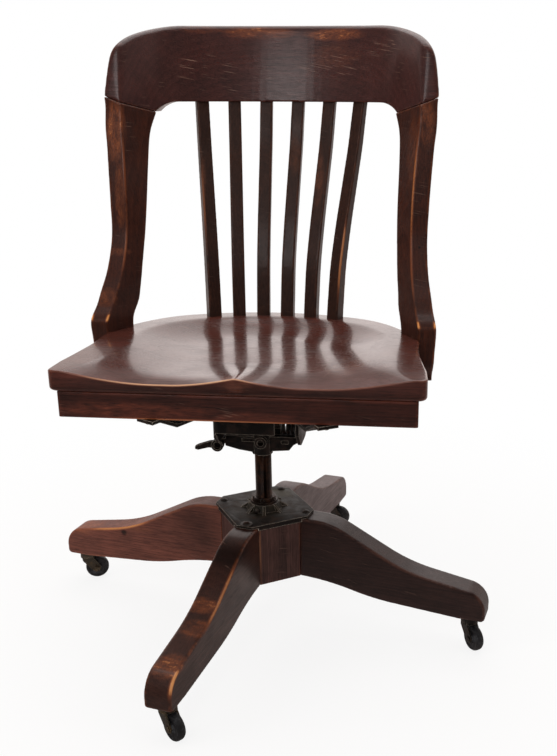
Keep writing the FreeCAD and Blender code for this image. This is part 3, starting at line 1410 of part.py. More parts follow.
def build_column():
    export("spindle", spindle())
    export("tilt_yoke", tilt_yoke())
    export("spindle_lock_screw", spindle_lock_screw())
    export("tilt_lock_lever", tilt_lock_lever())
    export("tilt_shaft", tilt_shaft())
    export("shaft_nuts", shaft_nuts())
    spring = torsion_spring()
    export("torsion_spring_right", spring)
    export("torsion_spring_left", mirrored(spring))
    export("swivel_sleeve", swivel_sleeve())
    export("height_nut", height_nut())


def build_base():
    pegs = dowels()
    block = hub_block()
    blank = leg()
    screws = []
    for side in range(LEG_COUNT):
        spot = turned_point(PLATE_SCREW_R, 0, side * 90.0)
        seat_z = PLATE_TOP_Z + (WASHER_THICK if side == LEG_COUNT - 1 else 0.0)
        shank = upright(SCREW_SHANK_R, PLATE_TOP_Z - PLATE_SCREW_LENGTH, seat_z, spot.x, spot.y)
        screws.append(shank.fuse(dome(SCREW_HEAD_R, SCREW_HEAD_HEIGHT, spot.x, spot.y, seat_z)))
    front = turned_point(PLATE_SCREW_R, 0, 270.0)
    washer = upright(WASHER_R, PLATE_TOP_Z, PLATE_TOP_Z + WASHER_THICK, front.x, front.y)
    washer = washer.cut(upright(SCREW_SHANK_R, PLATE_TOP_Z - 1.0, PLATE_TOP_Z + 5.0, front.x, front.y))
    for peg in pegs:
        block = block.cut(peg)
    export("hub_block", turned(block, BASE_TURN))
    for side, name in enumerate(("right", "rear", "left", "front")):
        one = turned(blank, side * 90.0)
        one = one.cut(pegs[2 * side]).cut(pegs[2 * side + 1]).cut(screws[side])
        export("leg_" + name, turned(one, BASE_TURN))
    casting = base_casting()
    screw_z = PLATE_TOP_Z + PLATE_BOSS_HEIGHT * 0.45
    set_screw = Part.makeCylinder(SET_SCREW_R, 9.0, turned_point(36.0, 0, 270.0, screw_z), V(0, 1, 0))
    casting = casting.cut(set_screw)
    export("base_casting", turned(casting, BASE_TURN))
    export("set_screw", turned(set_screw, BASE_TURN))
    export("plate_screws", turned(Part.makeCompound(screws), BASE_TURN))
    export("plate_washer", turned(washer, BASE_TURN))
    export("leg_dowels", turned(Part.makeCompound(pegs), BASE_TURN))
    export("caster_sockets", turned(Part.makeCompound(caster_sockets()), BASE_TURN))


def build_casters():
    for name, angle in LEG_ANGLES.items():
        stem = polar(STEM_CIRCLE_R, angle)
        for piece, solid in caster_solids(stem, CASTER_TRAIL_ANGLES[name]).items():
            export("caster_" + piece + "_" + name, solid)


os.makedirs("parts", exist_ok=True)
build_seat_body()
build_column()
build_base()
build_casters()
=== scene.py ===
import logging
import math
from dataclasses import dataclass
from enum import Enum
from typing import Iterable, Optional, Union

import bpy
import numpy as np
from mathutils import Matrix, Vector
from mathutils.bvhtree import BVHTree


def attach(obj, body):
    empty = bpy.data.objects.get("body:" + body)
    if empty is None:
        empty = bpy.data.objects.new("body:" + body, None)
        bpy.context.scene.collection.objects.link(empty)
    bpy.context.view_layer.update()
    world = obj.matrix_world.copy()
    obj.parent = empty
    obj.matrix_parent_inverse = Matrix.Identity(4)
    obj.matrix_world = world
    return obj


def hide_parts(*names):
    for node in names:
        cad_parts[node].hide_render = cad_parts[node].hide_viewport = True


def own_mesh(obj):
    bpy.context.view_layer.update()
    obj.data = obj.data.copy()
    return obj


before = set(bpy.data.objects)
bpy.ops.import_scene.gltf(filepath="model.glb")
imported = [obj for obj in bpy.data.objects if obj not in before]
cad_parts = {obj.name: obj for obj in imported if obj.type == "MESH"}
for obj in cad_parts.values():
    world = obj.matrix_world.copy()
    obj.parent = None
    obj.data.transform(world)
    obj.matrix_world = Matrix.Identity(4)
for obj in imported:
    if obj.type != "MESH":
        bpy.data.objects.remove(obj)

LOG = logging.getLogger("bankers_chair")
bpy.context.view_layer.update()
MM = 0.001
# Corners of the frame's loose triangles that lie nearer than this, in millimetres, are one
MERGE_GAP = 0.002
# At this scale one wave of Blender's wave texture is one unit long
WAVE_UNIT = 0.31416

Socket = bpy.types.NodeSocket
Tree = bpy.types.NodeTree
Material = bpy.types.Material
Piece = bpy.types.Object
Triple = tuple[float, float, float]


class Grain(Enum):
    """Which way the grain runs in a piece, as the turn in degrees that brings X onto it."""

    ACROSS = (0.0, 0.0, 0.0)
    UPRIGHT = (0.0, -90.0, 0.0)
    LEG_RIGHT = (0.0, 0.0, -13.14)
    LEG_REAR = (0.0, 0.0, 76.86)
    LEG_LEFT = (0.0, 0.0, 166.86)
    LEG_FRONT = (0.0, 0.0, 256.86)


class Corner(Enum):
    """The four legs and casters, named by where they stand."""

    RIGHT = "right"
    REAR = "rear"
    LEFT = "left"
    FRONT = "front"


def linear(hex_colour: str) -> tuple[float, float, float, float]:
    """Turn an sRGB hex colour into linear RGBA.

    Args:
        hex_colour: Six hex digits after a hash sign.

    Returns:
        The linear red, green, blue and an alpha of one.
    """
    parts = [int(hex_colour[i:i + 2], 16) / 255.0 for i in (1, 3, 5)]
    light = [p / 12.92 if p <= 0.04045 else ((p + 0.055) / 1.055) ** 2.4 for p in parts]
    return light[0], light[1], light[2], 1.0


def metres(point: Triple) -> Vector:
    """Turn a point in millimetres into metres."""
    return Vector(point) * MM


def blank_material(name: str) -> Material:
    """Start a material with an empty node tree.

    Args:
        name: The real material and its finish.

    Returns:
        The material.
    """
    material = bpy.data.materials.new(name)
    material.use_nodes = True
    material.node_tree.nodes.clear()
    return material


def add_node(
    tree: Tree,
    kind: str,
    inputs: Union[dict, tuple] = (),
    out: Union[int, str] = 0,
    **settings: object,
) -> Optional[Socket]:
    """Add one node with its settings, its values and its links.

    Args:
        tree: The node tree that gets the node.
        kind: Blender's name of the node type, without its prefix.
        inputs: What each input gets, in order or by name: a socket is linked, anything else is set.
        out: Name or number of the output that is wanted.
        **settings: Properties of the node.

    Returns:
        The wanted output, or nothing from a node that has none.
    """
    node = tree.nodes.new("ShaderNode" + kind)
    for name, value in settings.items():
        setattr(node, name, value)
    for name, value in inputs.items() if isinstance(inputs, dict) else enumerate(inputs):
        if isinstance(value, Socket):
            tree.links.new(value, node.inputs[name])
        else:
            node.inputs[name].default_value = value
    return node.outputs[out] if len(node.outputs) else None


@dataclass(frozen=True)
class Spot:
    """An egg-shaped place on the chair, in millimetres, where its finish differs."""

    centre: Triple
    reach: Triple
    strength: float = 1.0

    def share(self, tree: Tree, place: Socket) -> Socket:
        """How much a point lies in the spot.

        Args:
            tree: The finish's node tree.
            place: The point in object coordinates.

        Returns:
            A value that falls from the spot's strength inside to nought at its reach.
        """
        inside = add_node(
            tree, "Mapping", {"Vector": place, "Location": metres(self.centre), "Scale": metres(self.reach)},
            vector_type="TEXTURE")
        far = add_node(tree, "VectorMath", (inside,), "Value", operation="LENGTH")
        return add_node(tree, "MapRange", (far, 1.0, 0.35, 0.0, self.strength), interpolation_type="SMOOTHSTEP")


def strongest(tree: Tree, place: Socket, spots: Iterable[Spot]) -> Union[Socket, float]:
    """How much a point lies in any of several spots.

    Args:
        tree: The finish's node tree.
        place: The point in object coordinates.
        spots: The spots.

    Returns:
        The strongest share, or plain nought where there are no spots.
    """
    total = 0.0
    for spot in spots:
        total = add_node(tree, "Math", (total, spot.share(tree, place)), operation="MAXIMUM")
    return total


@dataclass(frozen=True)
class Skin:
    """How a wooden piece is skinned anew and rubbed.

    The grain is the new mesh's edge in millimetres, the passes are how often the rubbing goes
    over the piece and over its rounder places, and the full wear is the curvature of a full
    arris in radians per metre.
    """

    grain: float
    passes: int
    rounder: tuple[Spot, ...] = ()
    rounder_passes: int = 45
    full_wear: float = 150.0


@dataclass(frozen=True)
class Fitting:
    """Where a piece belongs: the frame's node it replaces, its own name, its body and its slot."""

    node: str
    name: str
    body: str
    slot: str


class Bench:
    """Where pieces are cut, shaped and cleaned up before they are fitted."""

    @staticmethod
    def clear() -> None:
        """Leave edit mode and deselect everything."""
        if bpy.context.object and bpy.context.object.mode != "OBJECT":
            bpy.ops.object.mode_set(mode="OBJECT")
        bpy.ops.object.select_all(action="DESELECT")

    @classmethod
    def take(cls, piece: Piece) -> None:
        """Make a piece the only one selected and the active one.

        Args:
            piece: The piece to work on.
        """
        cls.clear()
        piece.select_set(True)
        bpy.context.view_layer.objects.active = piece

    @classmethod
    def copy_of(cls, fitting: Fitting) -> Piece:
        """Copy a node of the frame as one closed skin.

        Args:
            fitting: Where the piece belongs.

        Returns:
            The copy under its own name, with its loose triangles joined.
        """
        piece = bpy.data.objects.new(fitting.name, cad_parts[fitting.node].data.copy())
        bpy.context.scene.collection.objects.link(piece)
        cls.take(piece)
        bpy.ops.object.mode_set(mode="EDIT")
        bpy.ops.mesh.select_all(action="SELECT")
        bpy.ops.mesh.remove_doubles(threshold=MERGE_GAP * MM)
        bpy.ops.object.mode_set(mode="OBJECT")
        return piece

    @classmethod
    def apply(cls, piece: Piece, kind: str, **settings: object) -> None:
        """Add a modifier and apply it at once.

        Args:
            piece: The piece that is changed.
            kind: Blender's name of the modifier type.
            **settings: Properties of the modifier.
        """
        cls.take(piece)
        modifier = piece.modifiers.new(kind.title(), kind)
        for name, value in settings.items():
            setattr(modifier, name, value)
        bpy.ops.object.modifier_apply(modifier=modifier.name)

    @classmethod
    def smooth(cls, piece: Piece, degrees: float) -> None:
        """Shade smooth across all edges under an angle."""
        cls.take(piece)
        bpy.ops.object.shade_smooth_by_angle(angle=math.radians(degrees))

    @classmethod
    def soften(cls, piece: Piece, grain: float, passes: int) -> None:
        """Skin a piece with an even mesh and rub its arrises soft, as years of hands do.

        Args:
            piece: The piece to soften.
            grain: The new mesh's edge length in millimetres.
            passes: How often the rubbing goes over it.
        """
        cls.apply(piece, "REMESH", mode="VOXEL", voxel_size=grain * MM, adaptivity=0.0)
        cls.apply(piece, "SMOOTH", factor=0.5, iterations=passes)
        cls.take(piece)
        bpy.ops.object.shade_smooth()

    @classmethod
    def rub_round(cls, piece: Piece, near: Spot, passes: int) -> None:
        """Rub one place rounder than the rest of the piece.

        Args:
            piece: The piece, already skinned with an even mesh.
            near: The place, in millimetres.
            passes: How often the rubbing goes over its middle.
        """
        group = piece.vertex_groups.new(name="rubbed")
        for vertex in piece.data.vertices:
            off = [(at / MM - mid) / reach for at, mid, reach in zip(vertex.co, near.centre, near.reach)]
            weight = min(1.0, 2.0 * (1.0 - math.hypot(*off)))
            if weight > 0.0:
                group.add([vertex.index], weight, "REPLACE")
        cls.apply(piece, "SMOOTH", vertex_group=group.name, factor=0.5, iterations=passes)
        piece.vertex_groups.clear()

    @staticmethod
    def note_wear(piece: Piece, full: float) -> None:
        """Store how sharply each point stands out, which is where stain rubs off first.

        Args:
            piece: The piece whose mesh gets the attribute named wear.
            full: The curvature, in radians per metre, that counts as a full arris.
        """
        mesh = piece.data
        count = len(mesh.vertices)
        places, normals = np.empty((count, 3)), np.empty((count, 3))
        mesh.vertices.foreach_get("co", places.reshape(-1))
        mesh.vertices.foreach_get("normal", normals.reshape(-1))
        edges = np.empty(len(mesh.edges) * 2, dtype=np.int64)
        mesh.edges.foreach_get("vertices", edges)
        first, second = edges.reshape(-1, 2).T
        run = places[second] - places[first]
        length = np.maximum((run ** 2).sum(1), 1e-12)
        bend = np.zeros(count)
        meet = np.zeros(count)
        np.add.at(bend, first, -2.0 * (normals[first] * run).sum(1) / length)
        np.add.at(bend, second, 2.0 * (normals[second] * run).sum(1) / length)
        np.add.at(meet, first, 1.0)
        np.add.at(meet, second, 1.0)
        wear = np.clip(bend / np.maximum(meet, 1.0) / full, -1.0, 1.0)
        # Each average with the neighbours carries the wear one edge further
        for _ in range(2):
            total = wear.copy()
            np.add.at(total, first, wear[second])
            np.add.at(total, second, wear[first])
            wear = total / (meet + 1.0)
        stored = mesh.attributes.new("wear", "FLOAT", "POINT")
        stored.data.foreach_set("value", wear.astype(np.float32))

    @classmethod
    def fit(cls, piece: Piece, fitting: Fitting, material: Material) -> None:
        """Give a finished piece its finish and its place in the chair.

        Args:
            piece: The finished piece.
            fitting: Where it belongs.
            material: The finish of the whole piece.
        """
        piece.data.materials.clear()
        piece.data.materials.append(material)
        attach(piece, fitting.body)
        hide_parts(fitting.node)
        LOG.info("%s: %d faces on %s", piece.name, len(piece.data.polygons), fitting.body)

    @classmethod
    def make_rubbed(cls, fitting: Fitting, material: Material, skin: Skin) -> None:
        """Make a wooden piece: skinned anew, its arrises rubbed soft, and fitted.

        Args:
            fitting: Where the piece belongs.
            material: Its finish.
            skin: How it is skinned and rubbed.
        """
        piece = cls.copy_of(fitting)
        cls.soften(piece, skin.grain, skin.passes)
        for place in skin.rounder:
            cls.rub_round(piece, place, skin.rounder_passes)
        cls.note_wear(piece, skin.full_wear)
        cls.fit(piece, fitting, material)

    @classmethod
    def make_plain(cls, fitting: Fitting, material: Material, crease: float) -> None:
        """Make a small piece just as the frame has it: shaded smooth and fitted.

        Args:
            fitting: Where the piece belongs.
            material: Its finish.
            crease: The angle in degrees over which an edge stays sharp.
        """
        piece = cls.copy_of(fitting)
        cls.smooth(piece, crease)
        cls.fit(piece, fitting, material)


@dataclass(frozen=True)
class StainedWood:
    """Close-grained hardwood under mahogany stain and old shellac, sanded and brushed.

    To the eye: near-black red-brown with soft ribbons, fine fibres and dark pores, a satin
    sheen, and amber where hands and feet have rubbed an edge or a face through the stain; in a
    few places the amber is a painted highlight and a dark spot is painted shade.
    """

    name: str
    ground: str = "#4a2620"
    ribbon: str = "#2c1512"
    pore: str = "#140a08"
    rubbed: str = "#7c4a30"
    bare: str = "#b87a48"
    scratch: str = "#9a7868"
    grain: Grain = Grain.ACROSS
    pith: Triple = (0.0, -40.0, 330.0)
    ring_width: float = 6.5
    ring_length: float = 180.0
    blotch: Triple = (26.0, 9.0, 9.0)
    cloud: Triple = (52.0, 38.0, 38.0)
    ribbon_size: Triple = (170.0, 10.0, 10.0)
    # Real fibres, pores and scratches are a third of a millimetre wide or less; drawn over one
    # millimetre wide so that they show
    fibre: Triple = (38.0, 1.5, 1.5)
    pore_size: Triple = (15.0, 1.1, 1.1)
    scratch_size: Triple = (46.0, 30.0, 1.2)
    scratch_turn: Triple = (0.1, 0.16, 0.5)
    figure: float = 0.6
    polish: float = 0.34
    gloss: float = 0.26
    shellac: float = 0.15
    shellac_polish: float = 0.16
    relief: float = 0.3
    arris: float = 0.35
    scuffs: float = 0.4
    # Spots and arrises with the stain rubbed off, a few of them painted highlight; scratched spots; dark spots of
    # stain, a few of them painted shade; spots with the shellac rubbed off
    wear_and_sheen: tuple[Spot, ...] = ()
    arris_wear_and_glint: tuple[Spot, ...] = ()
    scratched: tuple[Spot, ...] = ()
    stains_and_shade: tuple[Spot, ...] = ()
    dulled: tuple[Spot, ...] = ()

    def build(self) -> Material:
        """Build the wood's material.

        Returns:
            The material, which reads object coordinates and the wear attribute.
        """
        material = blank_material(self.name)
        tree = material.node_tree
        place = add_node(tree, "TexCoord", out="Object")
        clouds = self._streaks(tree, place, self.cloud, 3.0)
        fibres = self._streaks(tree, place, self.fibre, 3.0)
        pores = self._streaks(tree, place, self.pore_size, 2.0)
        colour = self._stain(tree, place, clouds, fibres, pores)
        # The stain rubbed off, and painted highlight in a few spots
        rub = self._rub_and_sheen(tree, place, pores)
        layers = (
            (add_node(tree, "MapRange", (rub, 0.04, 0.75, 0.0, 0.9)), self.rubbed),
            (add_node(tree, "MapRange", (rub, 0.55, 1.0, 0.0, 1.0)), self.bare),
            (self._scratches(tree, place, clouds), self.scratch))
        for share, tint in layers:
            colour = add_node(tree, "Mix", {0: share, 6: colour, 7: linear(tint)}, 2, data_type="RGBA")
        rough = add_node(tree, "MapRange", (clouds, 0.3, 0.7, self.polish - 0.05, self.polish + 0.10))
        matt = add_node(tree, "MapRange", (fibres, 0.3, 0.7, -0.05, 0.09))
        rough = add_node(tree, "Math", (rough, matt), operation="ADD")
        shellac: Union[Socket, float] = self.shellac
        if self.dulled:
            # Sitting has rubbed the shellac off here: a duller surface with no coat
            dull = strongest(tree, place, self.dulled)
            rough = add_node(tree, "Math", (dull, 0.3, rough), operation="MULTIPLY_ADD")
            shellac = add_node(tree, "MapRange", (dull, 0.0, 1.0, self.shellac, 0.0))
        sunk = add_node(tree, "MapRange", (pores, 0.56, 0.70, 0.0, -0.6))
        raised = add_node(tree, "MapRange", (fibres, 0.2, 0.8, 0.0, 0.35))
        height = add_node(tree, "Math", (sunk, raised), operation="ADD")
        bump = add_node(tree, "Bump", {"Height": height, "Strength": 0.5, "Distance": self.relief * MM})
        shader = add_node(tree, "BsdfPrincipled", {
            "Base Color": colour, "Roughness": rough, "Normal": bump, "IOR": 1.5,
            "Specular IOR Level": self.gloss, "Coat Weight": shellac, "Coat Roughness": self.shellac_polish,
            "Coat IOR": 1.52})
        add_node(tree, "OutputMaterial", (shader,))
        return material

    def _streaks(self, tree: Tree, place: Socket, size: Triple, detail: float) -> Socket:
        """Cloudy streaks along the grain.

        Args:
            tree: The finish's node tree.
            place: The point in object coordinates.
            size: Their size in millimetres along the grain and twice across it.
            detail: How many finer octaves they have.

        Returns:
            A value about a half that wanders between nought and one.
        """
        along = add_node(
            tree, "Mapping",
            {"Vector": place, "Location": metres(self.pith), "Scale": metres(size),
             "Rotation": [math.radians(a) for a in self.grain.value]}, vector_type="TEXTURE")
        return add_node(tree, "TexNoise", {"Vector": along, "Scale": 1.0, "Detail": detail, "Roughness": 0.58})

    def _rings(self, tree: Tree, place: Socket) -> Socket:
        """Growth rings round the pith, drawn out along the grain and bent as a trunk bends.

        Args:
            tree: The finish's node tree.
            place: The point in object coordinates.

        Returns:
            A value that climbs from nought to one across each ring.
        """
        along = add_node(
            tree, "Mapping",
            {"Vector": place, "Location": metres(self.pith),
             "Scale": metres((self.ring_length, self.ring_width, self.ring_width)),
             "Rotation": [math.radians(a) for a in self.grain.value]}, vector_type="TEXTURE")
        return add_node(
            tree, "TexWave",
            {"Vector": along, "Scale": WAVE_UNIT, "Distortion": 5.5, "Detail": 2.5, "Detail Scale": 0.35,
             "Detail Roughness": 0.55}, "Fac", wave_type="RINGS", rings_direction="X", wave_profile="SAW")

    def _stain(self, tree: Tree, place: Socket, clouds: Socket, fibres: Socket, pores: Socket) -> Socket:
        """The colour under whole stain, with its ribbons, clouds, fibres, pores, and dark spots of stain and of
        painted shade.

        Args:
            tree: The finish's node tree.
            place: The point in object coordinates.
            clouds: The broad uneven tone.
            fibres: The fine fibres.
            pores: The pores.

        Returns:
            The colour where the stain is whole.
        """
        ribbons = self._streaks(tree, place, self.ribbon_size, 4.0)
        figure = add_node(tree, "Mix", {0: 0.7, 2: self._rings(tree, place), 3: ribbons}, data_type="FLOAT")
        layers = (
            (add_node(tree, "MapRange", (figure, 0.25, 0.75, 0.0, self.figure)), self.ribbon),
            (add_node(tree, "MapRange", (clouds, 0.38, 0.72, 0.0, 0.55)), self.ribbon),
            (add_node(tree, "MapRange", (fibres, 0.42, 0.68, 0.0, 0.5)), self.pore),
            (add_node(tree, "MapRange", (pores, 0.58, 0.70, 0.0, 0.6)), self.pore),
            # Dark spots: stain, and in places painted shade
            (strongest(tree, place, self.stains_and_shade), self.pore))
        colour = linear(self.ground)
        for share, tint in layers:
            colour = add_node(tree, "Mix", {0: share, 6: colour, 7: linear(tint)}, 2, data_type="RGBA")
        return colour

    def _rub_and_sheen(self, tree: Tree, place: Socket, pores: Socket) -> Socket:
        """Where the stain has gone: along the arrises, most at the rubbed ones, and in rubbed spots; a few of these
        spots and arrises are painted highlight.

        Args:
            tree: The finish's node tree.
            place: The point in object coordinates.
            pores: The pores, which keep their stain longest.

        Returns:
            A value from nought to one, bare wood.
        """
        edge = add_node(tree, "Attribute", out="Fac", attribute_name="wear")
        edge = add_node(tree, "MapRange", (edge, 0.12, 0.75, 0.0, 1.0))
        patchy = self._streaks(tree, place, self.blotch, 4.0)
        broken = add_node(tree, "MapRange", (patchy, 0.34, 0.60, 0.0, 1.0))
        # Arrises rubbed bare, some of them partly painted highlight
        arris_wear_and_glint_share = strongest(tree, place, self.arris_wear_and_glint)
        little = add_node(tree, "Math", (broken, self.arris), operation="MULTIPLY")
        along = add_node(tree, "Math", (little, arris_wear_and_glint_share), operation="MAXIMUM")
        edge = add_node(tree, "Math", (edge, along), operation="MULTIPLY")
        spots = strongest(tree, place, self.wear_and_sheen)
        ragged = add_node(tree, "MapRange", (patchy, 0.32, 0.66, 0.2, 1.0))
        filled = add_node(tree, "MapRange", (pores, 0.35, 0.62, 1.0, 0.45))
        spots = add_node(tree, "Math", (spots, ragged), operation="MULTIPLY")
        spots = add_node(tree, "Math", (spots, filled), operation="MULTIPLY")
        return add_node(tree, "Math", (edge, spots), operation="MAXIMUM")

    def _scratches(self, tree: Tree, place: Socket, clouds: Socket) -> Socket:
        """Thin pale scratches, a few anywhere and many in the scratched spots.

        Args:
            tree: The finish's node tree.
            place: The point in object coordinates.
            clouds: The broad uneven tone, which the few scratches follow.

        Returns:
            A value from nought up to a full scratch.
        """
        lines = add_node(
            tree, "Mapping",
            {"Vector": place, "Rotation": self.scratch_turn, "Scale": metres(self.scratch_size)},
            vector_type="TEXTURE")
        lines = add_node(tree, "TexNoise", {"Vector": lines, "Scale": 1.0, "Detail": 2.0, "Roughness": 0.45})
        thin = add_node(tree, "MapRange", (lines, 0.63, 0.68, 0.0, 0.8))
        few = add_node(tree, "MapRange", (clouds, 0.55, 0.68, 0.0, self.scuffs))
        many = strongest(tree, place, self.scratched)
        where = add_node(tree, "Math", (few, many), operation="MAXIMUM")
        return add_node(tree, "Math", (thin, where), operation="MULTIPLY")


@dataclass(frozen=True)
class AgedMetal:
    """Iron or steel with old black paint or oil on it, cast, drawn or pressed.

    To the eye: brown-black with a low broken sheen, brown rust in clouds and specks,
    grey metal where corners are rubbed, and dust where it lies undisturbed.
    """

    name: str
    skin: str = "#1b1614"
    rust: str = "#3b2519"
    metal: str = "#8d8378"
    dust: str = "#4b4636"
    rust_share: float = 0.5
    shine: float = 0.42
    metallic: float = 0.35
    pebble: float = 1.6
    cloud: float = 17.0
    speck: float = 2.6
    relief: float = 0.25
    gloss: float = 0.5
    rub: float = 0.8
    rub_width: float = 1.2
    dusty: tuple[Spot, ...] = ()

    def build(self) -> Material:
        """Build the metal's material.

        Returns:
            The material, which reads object coordinates.
        """
        material = blank_material(self.name)
        tree = material.node_tree
        place = add_node(tree, "TexCoord", out="Object")
        clouds = self._mottle(tree, place, self.cloud, 5.0)
        specks = self._mottle(tree, place, self.speck, 3.0)
        skin = self._mottle(tree, place, self.pebble, 2.0)
        low = 0.62 - 0.24 * self.rust_share
        rusty = add_node(tree, "MapRange", (clouds, low, low + 0.14, 0.0, 0.9))
        pitted = add_node(tree, "MapRange", (specks, 0.60, 0.68, 0.0, 0.8))
        lying = add_node(tree, "Math", (strongest(tree, place, self.dusty), clouds), operation="MULTIPLY")
        bright = add_node(tree, "MapRange", (specks, 0.3, 0.6, 0.3, 1.0))
        bright = add_node(tree, "Math", (self._corners(tree), bright), operation="MULTIPLY")
        colour = linear(self.skin)
        for share, tint in ((rusty, self.rust), (pitted, self.rust), (lying, self.dust), (bright, self.metal)):
            colour = add_node(tree, "Mix", {0: share, 6: colour, 7: linear(tint)}, 2, data_type="RGBA")
        rough = add_node(tree, "MapRange", (clouds, 0.35, 0.65, self.shine, self.shine + 0.22))
        raised = add_node(tree, "MapRange", (skin, 0.3, 0.7, 0.0, 1.0))
        eaten = add_node(tree, "MapRange", (specks, 0.5, 0.7, 0.0, -0.6))
        height = add_node(tree, "Math", (raised, eaten), operation="ADD")
        bump = add_node(tree, "Bump", {"Height": height, "Strength": 0.6, "Distance": self.relief * MM})
        shader = add_node(tree, "BsdfPrincipled", {
            "Base Color": colour, "Roughness": rough, "Normal": bump, "Metallic": self.metallic,
            "Specular IOR Level": self.gloss})
        add_node(tree, "OutputMaterial", (shader,))
        return material

    def _corners(self, tree: Tree) -> Socket:
        """How much a point lies at a corner, by how far a rounded normal leaves the true one.

        Args:
            tree: The finish's node tree.

        Returns:
            A value from nought on a flat face up to the metal's rub.
        """
        rounded = add_node(tree, "Bevel", {"Radius": self.rub_width * MM}, samples=4)
        plain = add_node(tree, "NewGeometry", out="Normal")
        along = add_node(tree, "VectorMath", (rounded, plain), "Value", operation="DOT_PRODUCT")
        return add_node(tree, "MapRange", (along, 0.995, 0.86, 0.0, self.rub))

    @staticmethod
    def _mottle(tree: Tree, place: Socket, size: float, detail: float) -> Socket:
        """Cloudy mottling of a size in millimetres."""
        return add_node(
            tree, "TexNoise", {"Vector": place, "Scale": 1.0 / (size * MM), "Detail": detail, "Roughness": 0.6})


@dataclass
class SaddleSeat:
    """The solid seat, hollowed to a saddle, on its apron rails, in millimetres."""

    top: float = 464.0
    thick: float = 30.0
    half_width: float = 254.5
    front: float = -198.0
    rear: float = 168.0
    middle: Triple = (0.0, -15.0, 0.0)
    outline_points: int = 720
    arris: float = 2.2
    arris_drop: float = 1.3
    arris_steps: int = 5
    lower_round: float = 6.0
    lower_steps: int = 6
    ray_start: float = 600.0
    # Loops drawn in over the top: first by their inset, then by their share of the outline
    rim_insets: tuple[float, ...] = (3.2, 4.6, 6.5, 9.0)
    top_share: float = 0.95
    top_share_step: float = 0.0155
    top_loops: int = 60
    bottom_shares: tuple[float, ...] = (0.8, 0.4)
    full_wear: float = 260.0
    dish: float = 16.0
    dish_half_width: float = 190.0
    dish_flare: float = 46.0
    dish_ramp: float = 125.0
    rear_rim: float = 31.0
    rear_power: float = 2.1
    dish_softness: float = 0.04
    flare_power: int = 4
    pommel: float = 12.0
    pommel_crown: float = 3.0
    pommel_side_power: float = 1.7
    pommel_fade_power: float = 1.3
    pommel_half_width: float = 87.0
    pommel_length: float = 115.0
    mean_reach: float = 220.0
    board_fitting: Fitting = Fitting("seat_board", "saddle_seat_board", "seat", "seat_wood")
    rail_skin: Skin = Skin(1.8, 3)
    # Sanded board under satin shellac: red-brown and glossy, dull where sitting has rubbed it;
    # painted highlight on its rear rim and along its front arris, painted shade on its front face
    board: StainedWood = StainedWood(
        "stained_board_satin_shellac", ground="#5f3128", ribbon="#3d1e17", rubbed="#8a5440", bare="#d0a27c",
        pith=(30.0, -60.0, 380.0), ring_width=7.5, ring_length=150.0, polish=0.2, gloss=0.4, shellac=0.6,
        shellac_polish=0.12, relief=0.16, arris=0.45,
        wear_and_sheen=(Spot((0.0, -190.0, 452.0), (34.0, 40.0, 18.0), 0.5),
              # Painted highlight: a lit strip along the flat rear rim
              Spot((0.0, 152.0, 463.0), (150.0, 22.0, 8.0), 0.45),
              Spot((150.0, -110.0, 448.0), (90.0, 60.0, 16.0), 0.3)),
        # The front arris is partly rubbed bare; its left half is made lighter still with a painted highlight
        arris_wear_and_glint=(Spot((-100.0, -198.0, 455.0), (210.0, 12.0, 26.0), 0.95),
                      Spot((150.0, -198.0, 455.0), (150.0, 12.0, 26.0), 0.5)),
        scratched=(Spot((140.0, -60.0, 450.0), (60.0, 60.0, 20.0), 0.35),),
        # Painted shade: the board's whole front face is darkened
        stains_and_shade=(Spot((0.0, -203.0, 436.0), (600.0, 9.0, 26.0), 0.85),),
        dulled=(Spot((-130.0, -200.0, 450.0), (170.0, 60.0, 30.0), 0.9),
                Spot((140.0, -190.0, 450.0), (170.0, 95.0, 30.0), 0.9)))
    # Planed rails under thin shellac: darker and duller, rubbed red along the front
    apron: StainedWood = StainedWood(
        "stained_rail_dull_shellac", ground="#47241d", ribbon="#2c1612", rubbed="#743826", bare="#a8683e",
        pith=(0.0, -150.0, 330.0), ring_width=5.0, figure=0.5, polish=0.42, shellac=0.1,
        wear_and_sheen=(Spot((-150.0, -196.0, 410.0), (170.0, 14.0, 17.0), 0.65),
              Spot((10.0, -196.0, 404.0), (110.0, 14.0, 12.0), 0.5)),
        arris_wear_and_glint=(Spot((-40.0, -196.0, 400.0), (230.0, 14.0, 9.0), 0.9),))

    def sunk(self, x: float, y: float) -> float:
        """How far the saddle lies under the flat rim.

        Args:
            x: Place to the side, in millimetres.
            y: Place towards the back, in millimetres.

        Returns:
            The depth in millimetres, less than nought on the pommel's ridge.
        """
        side = abs(x)
        forward = max(0.0, -y) / -self.front
        half = self.dish_half_width + self.dish_flare * forward ** self.flare_power
        ramp = self.dish_ramp * half / (self.dish_half_width + self.dish_flare)
        room = (half - side) / ramp
        if y > 0.0:
            reach = self.rear - self.rear_rim
            share = (side / half) ** self.rear_power + (y / reach) ** self.rear_power
            room = (1.0 - share ** (1.0 / self.rear_power)) * half / ramp
        room = (room + math.sqrt(room * room + self.dish_softness ** 2)) / 2.0
        depth = self.dish * math.sin(math.pi / 2.0 * min(room, 1.0))
        ridge = max(0.0, 1.0 - math.sqrt(x * x + self.pommel_crown ** 2) / self.pommel_half_width)
        fade = min(max(0.0, 1.0 - (y - self.front) / self.pommel_length), 1.0)
        return depth - self.pommel * ridge ** self.pommel_side_power * fade ** self.pommel_fade_power

    def _edge_line(self) -> list[Vector]:
        """Walk round the frame's board and find its edge in plan.

        Returns:
            The edge's points in metres, anticlockwise from +X.
        """
        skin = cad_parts["seat_board"].data
        tree = BVHTree.FromPolygons([v.co for v in skin.vertices], [p.vertices for p in skin.polygons])
        start = metres(self.middle)
